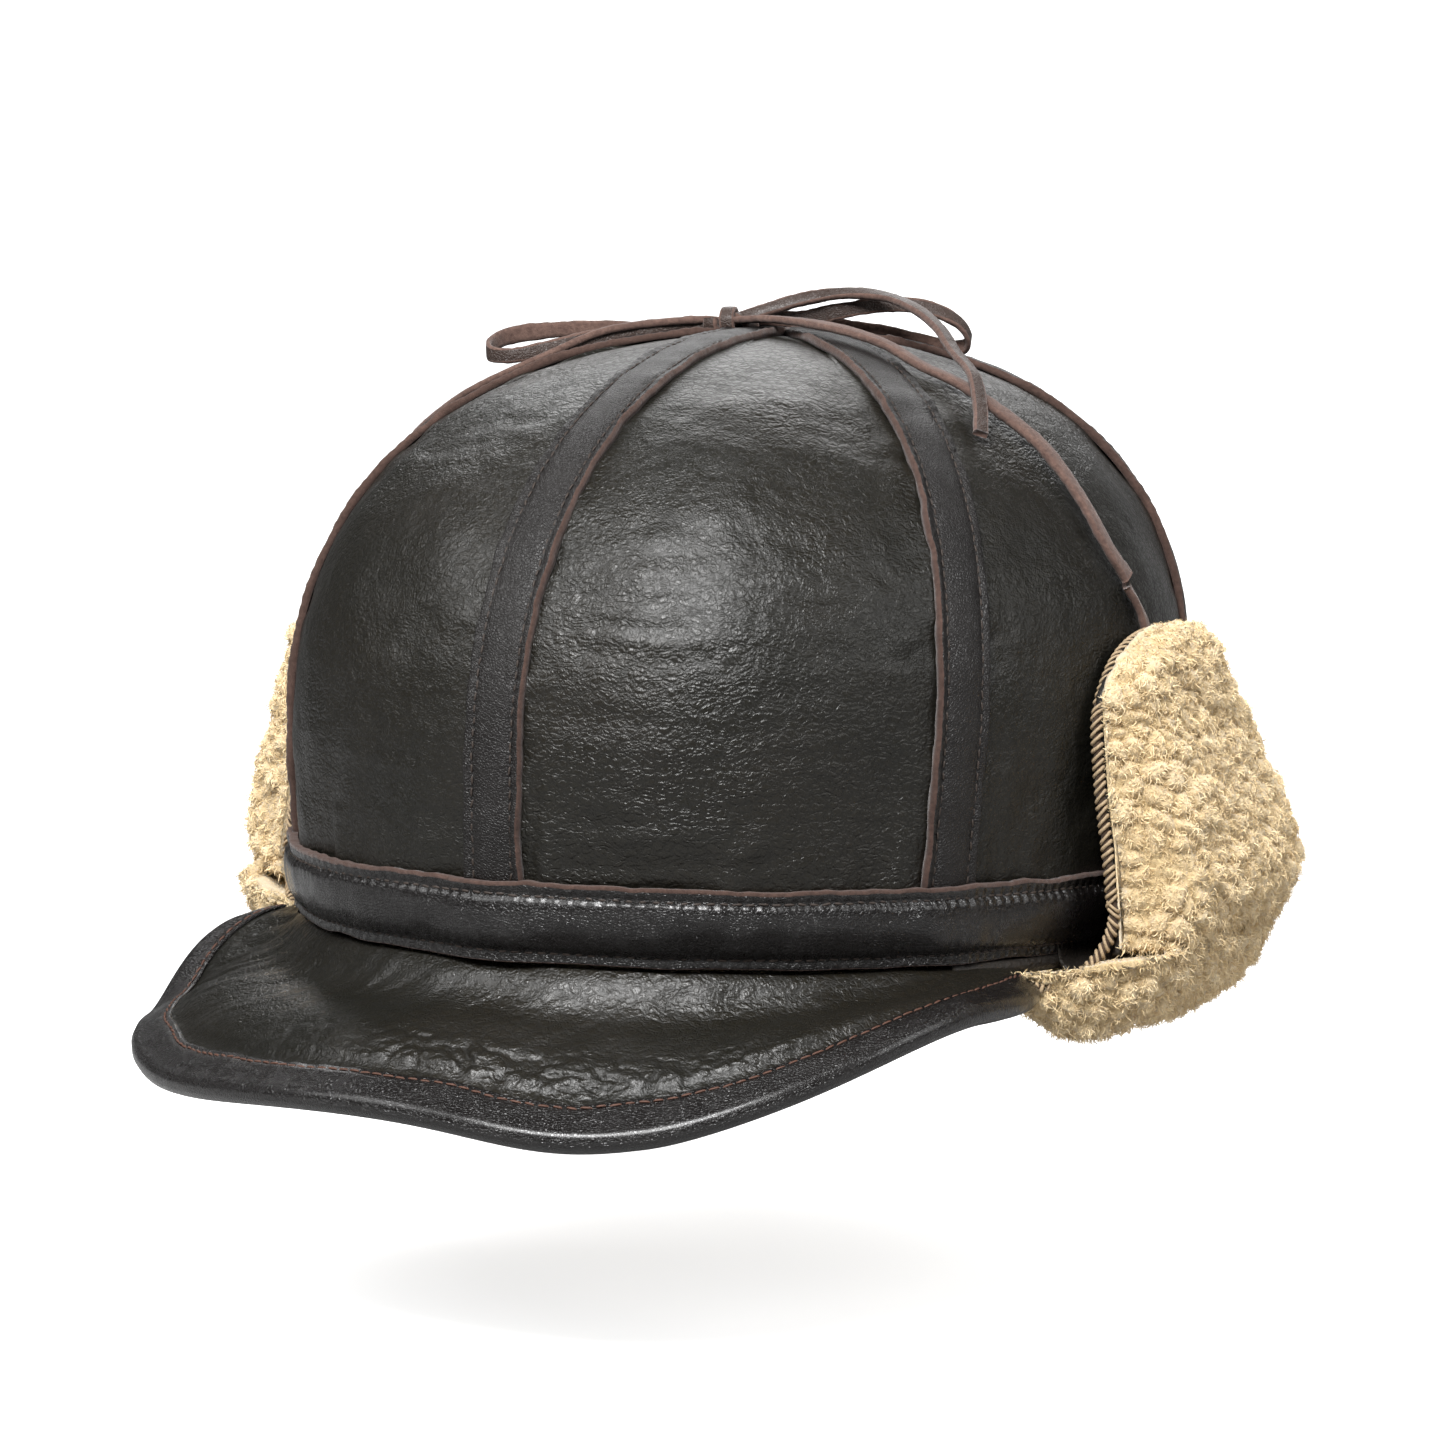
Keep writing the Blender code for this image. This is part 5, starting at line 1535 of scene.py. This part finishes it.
# bow: ribbons on edge; the grain side is outside each loop
OUT = np.array([0.454, -0.891, 0.10])        # toward the bill side
UPZ = np.array([0.0, 0.0, 1.0])
n1_ = tuple(OUT)
n2_ = tuple(-OUT)
tipn = (-0.891, -0.454, 0.05)
ribbon("bow_loop_image_left", [
    (-8.5, 3.5, 139.6) + n1_, (-17.0, 3.0, 139.8) + n1_, (-27.2, -3.0, 138.3) + n1_, (-36.6, -10.0, 135.9) + n1_, (-45.0, -17.0, 133.3) + n1_,
    (-53.0, -21.5, 131.2) + (0.0, -0.95, 0.05), (-59.0, -21.5, 131.4) + (-0.75, -0.66, 0.05), (-61.8, -17.0, 133.4) + (-0.99, -0.10, 0.05),
    (-60.5, -11.0, 135.6) + (-0.80, 0.60, 0.05), (-54.0, -5.5, 137.2) + n2_, (-44.0, -0.5, 138.0) + n2_, (-34.0, 3.5, 138.0) + n2_,
    (-23.0, 6.5, 138.3) + n2_, (-13.0, 8.0, 139.9) + n2_, (-7.0, 7.5, 140.4) + n2_], nodes=("bow_loop_right",), seed=7, wide=1.05, thick=0.72)
ribbon("bow_loop_image_right", [
    (-8.0, 6.5, 140.3) + n1_, (-2.0, 9.0, 141.8) + n1_, (6.0, 14.0, 141.6) + n1_, (14.0, 17.5, 143.6) + n1_, (24.0, 22.0, 145.6) + n1_,
    (33.0, 26.5, 145.4) + (0.6, -0.75, 0.25), (40.0, 31.0, 142.2) + (0.95, -0.1, 0.35), (42.0, 34.0, 137.6) + (0.95, 0.3, 0.1), (37.5, 35.0, 135.6) + (0.2, 0.9, -0.35),
    (28.0, 31.5, 137.5) + (-0.4, 0.8, 0.3), (16.0, 24.5, 139.8) + (-0.42, 0.80, 0.30), (4.0, 17.0, 141.0) + n2_, (-5.0, 9.5, 141.0) + n2_],
    nodes=("bow_loop_left",), seed=9, wide=1.05, thick=0.72)
g = (0.30, -0.55, 0.78)
end_keys = [(-8.0, 4.5, 140.6) + g, (-1.0, 7.0, 143.2) + (0.35, -0.75, 0.55), (8.0, 12.5, 146.6) + (0.35, -0.75, 0.55), (17.3, 17.0, 148.2) + (0.3, -0.6, 0.75), (27.0, 17.5, 147.6) + (0.35, -0.4, 0.85),
            (36.5, 14.0, 145.0) + (0.5, -0.3, 0.8), (45.5, 8.5, 140.5) + (0.65, -0.25, 0.7), (53.0, 1.5, 135.0) + (0.66, -0.3, 0.68)]
end_keys += on_crown([(61.1, -7.1, 126.6), (67.0, -15.5, 121.3), (71.7, -23.8, 116.3)], [4.6, 2.6, 1.3])
ribbon("bow_end_left", end_keys, nodes=("bow_tail_left",), seed=11, wide=0.9, thick=0.95)
ribbon("bow_end_right", [(-9.0, 4.5, 139.6) + g, (-13.0, 10.0, 140.2) + (0, 0, 1.0)] + on_crown([(-19.0, 20.0, 136.0), (-27.0, 31.0, 133.0), (-31.0, 42.0, 128.0)], 1.5),
       nodes=("bow_tail_right",), seed=13, wide=0.95)

# the knot: laces wound over each other
kc = np.array([-8.6, 4.6, 140.2])


def wrap(c, rx, rz, yaw, tilt, turns, sweep_, seed, name, nodes=()):
    """A strand wound about the knot's middle."""
    a = np.linspace(turns[0], turns[1], 18)
    cy_, sy_ = math.cos(yaw), math.sin(yaw)
    axis = np.array([cy_, sy_, 0.0])
    perp = np.array([-sy_, cy_, 0.0])
    keys = []
    for x in a:
        rad_v = perp * math.cos(x) * rx + UPZ * math.sin(x) * rz
        q = c + rad_v + axis * (sweep_ * (x - a.mean()) / (a[-1] - a[0]) + tilt * math.cos(x))
        keys.append(tuple(q) + tuple(norm(rad_v)))
    return ribbon(name, keys, nodes=nodes, seed=seed, thick=0.9, step=0.4)


wrap(kc + np.array([0.5, 0.3, 0.2]), 3.6, 3.1, math.radians(18), 0.8, (math.radians(-70), math.radians(300)), 3.0, 15, "bow_knot_wrap", nodes=("bow_knot",))
wrap(kc + np.array([2.2, 1.0, -0.4]), 3.0, 2.4, math.radians(62), -0.8, (math.radians(-40), math.radians(240)), 3.6, 17, "bow_knot_cross")
wrap(kc + np.array([-1.4, -0.2, -0.2]), 2.5, 2.3, math.radians(-15), 0.5, (math.radians(150), math.radians(440)), 2.4, 19, "bow_knot_under")

for side, hand in (("left", 1.0), ("right", -1.0)):
    t0, n0, z0 = FLAP_TIP_T, float(flap_skin(FLAP_TIP_T) + lean(FLAP_TIP_Z)), FLAP_TIP_Z
    nv = tuple(flap_xyz(hand, 0, 1, 0))
    tilt_ = tuple(norm(flap_xyz(hand, 0, 1, 0) * 0.8 + np.array([0, 0, 0.6])))
    fore = 8.2 if hand > 0 else 0.0     # the left lace runs up and forward to its tie
    keys = [tuple(flap_xyz(hand, t0 - 0.25 * fore, n0 - 1.4, z0 - 13.0)) + nv, tuple(flap_xyz(hand, t0 - 0.4 * fore, n0 - 1.5, z0 - 6.0)) + nv,
            tuple(flap_xyz(hand, t0 + 0.3 - 0.62 * fore, n0 - 2.0, z0 + 0.0)) + nv, tuple(flap_xyz(hand, t0 + 0.2 - 0.82 * fore, n0 - 3.6, z0 + 5.0)) + tilt_,
            tuple(flap_xyz(hand, t0 - 1.0 - fore, n0 - 6.0, z0 + 10.0)) + tilt_]
    ribbon("lace_end_" + side, keys, body="ear_flap_" + side, nodes=("ear_flap_%s_lace_end" % side,), seed=21 + int(hand), wide=1.06, flesh=True)


# ---- stage -------------------------------------------------------------------
def emission_world(strength, colour=(1, 1, 1)):
    w = bpy.data.worlds.new("studio")
    bpy.context.scene.world = w
    w.use_nodes = True
    t = w.node_tree
    bg = t.nodes["Background"]
    bg.inputs[0].default_value = (*colour, 1)
    lp = t.nodes.new("ShaderNodeLightPath")
    mr = t.nodes.new("ShaderNodeMapRange")
    t.links.new(lp.outputs["Is Camera Ray"], mr.inputs["Value"])
    mr.inputs["To Min"].default_value = strength
    mr.inputs["To Max"].default_value = 1.0
    t.links.new(mr.outputs["Result"], bg.inputs[1])


emission_world(0.08)
low_z = min(float(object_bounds()[0][2]), float(CAD_BOX[0][2]))
STAND = 0.050     # the hat is held clear of the floor so the flaps can hang
me = bpy.data.meshes.new("floor")
fl = 3.0
nn_ = 60
ang = np.linspace(0, pi / 2, 24)
prof_ = [(-fl, 0.0)] + [(1.2 + 0.6 * math.sin(a), 0.6 - 0.6 * math.cos(a)) for a in ang] + [(1.8, 3.0)]
fv, ff = [], []
for y, z in prof_:
    for x in (-fl, fl):
        fv.append((x, y, z + low_z - STAND))
for i in range(len(prof_) - 1):
    ff.append((2 * i, 2 * i + 1, 2 * i + 3, 2 * i + 2))
me.from_pydata(fv, [], ff)
me.update()
floor = bpy.data.objects.new("floor", me)
bpy.context.scene.collection.objects.link(floor)
for p_ in me.polygons:
    p_.use_smooth = True
n_ = Nodes("paper")
f_, _ = n_.noise(2.0, 2, 0.5)
lp_ = n_.t.nodes.new("ShaderNodeLightPath")
paper = n_.mix(n_.range(f_, 0.3, 0.7), (0.90, 0.90, 0.90), (0.93, 0.93, 0.93))
n_.finish(n_.mix(lp_.outputs["Is Camera Ray"], (0.36, 0.36, 0.36), paper), 0.9, None, Specular_IOR_Level=0.1)
n_.b.inputs["Emission Color"].default_value = (1, 1, 1, 1)
n_.link(n_.math("MULTIPLY", lp_.outputs["Is Camera Ray"], 0.75), n_.b.inputs["Emission Strength"])
me.materials.append(n_.m)

VIEW_AZ, VIEW_EL, VIEW_ROLL, VIEW_D, VIEW_S, VIEW_CX, VIEW_CY = 27.0, 5.0, -1.48, 1150.0, 4.1499, 4.33, 10.63


def axes(az, el):
    a, e = math.radians(az), math.radians(el)
    r = np.array([math.cos(a), math.sin(a), 0])
    u = np.array([-math.sin(a) * math.sin(e), math.cos(a) * math.sin(e), math.cos(e)])
    b = np.array([math.sin(a) * math.cos(e), -math.cos(a) * math.cos(e), math.sin(e)])
    return r, u, b


target = np.array([0, 0, 55.0])
R0, U0, BK = axes(VIEW_AZ, VIEW_EL)
rr = math.radians(VIEW_ROLL)
Rv = math.cos(rr) * R0 - math.sin(rr) * U0
Uv = math.sin(rr) * R0 + math.cos(rr) * U0
loc = (target + BK * VIEW_D - VIEW_CX * R0 - VIEW_CY * U0 + SHIFT) * MM
cam = bpy.data.cameras.new("camera")
cam.sensor_width = 36.0
cam.lens = VIEW_S * 36.0 * VIEW_D / 1445.0
cam.clip_start, cam.clip_end = 0.05, 20
camo = bpy.data.objects.new("camera", cam)
m = Matrix(((Rv[0], Uv[0], BK[0], loc[0]), (Rv[1], Uv[1], BK[1], loc[1]), (Rv[2], Uv[2], BK[2], loc[2]), (0, 0, 0, 1)))
camo.matrix_world = m
bpy.context.scene.collection.objects.link(camo)
bpy.context.scene.camera = camo


def softbox(name, az, el, dist, size, power, aim=(0, 0, 60.0)):
    _, _, b = axes(az, el)
    l = bpy.data.lights.new(name, "AREA")
    l.shape = "RECTANGLE"
    l.size, l.size_y = size
    l.energy = power
    o = bpy.data.objects.new(name, l)
    c = (np.array(aim) + SHIFT) * MM
    pos = Vector(c + b * dist)
    o.location = pos
    o.rotation_euler = (Vector(c) - pos).to_track_quat("-Z", "Y").to_euler()
    bpy.context.scene.collection.objects.link(o)
    return o


softbox("key", 14, 47, 1.25, (0.50, 0.50), 33)
softbox("fill_left", -42, 40, 1.5, (0.8, 0.8), 13.0)
softbox("fill_right", 92, 30, 1.6, (0.7, 0.9), 10.0)
softbox("back", 205, 38, 1.8, (1.3, 0.9), 14)
bpy.context.scene.view_settings.view_transform = "Standard"
bpy.context.scene.view_settings.look = "None"
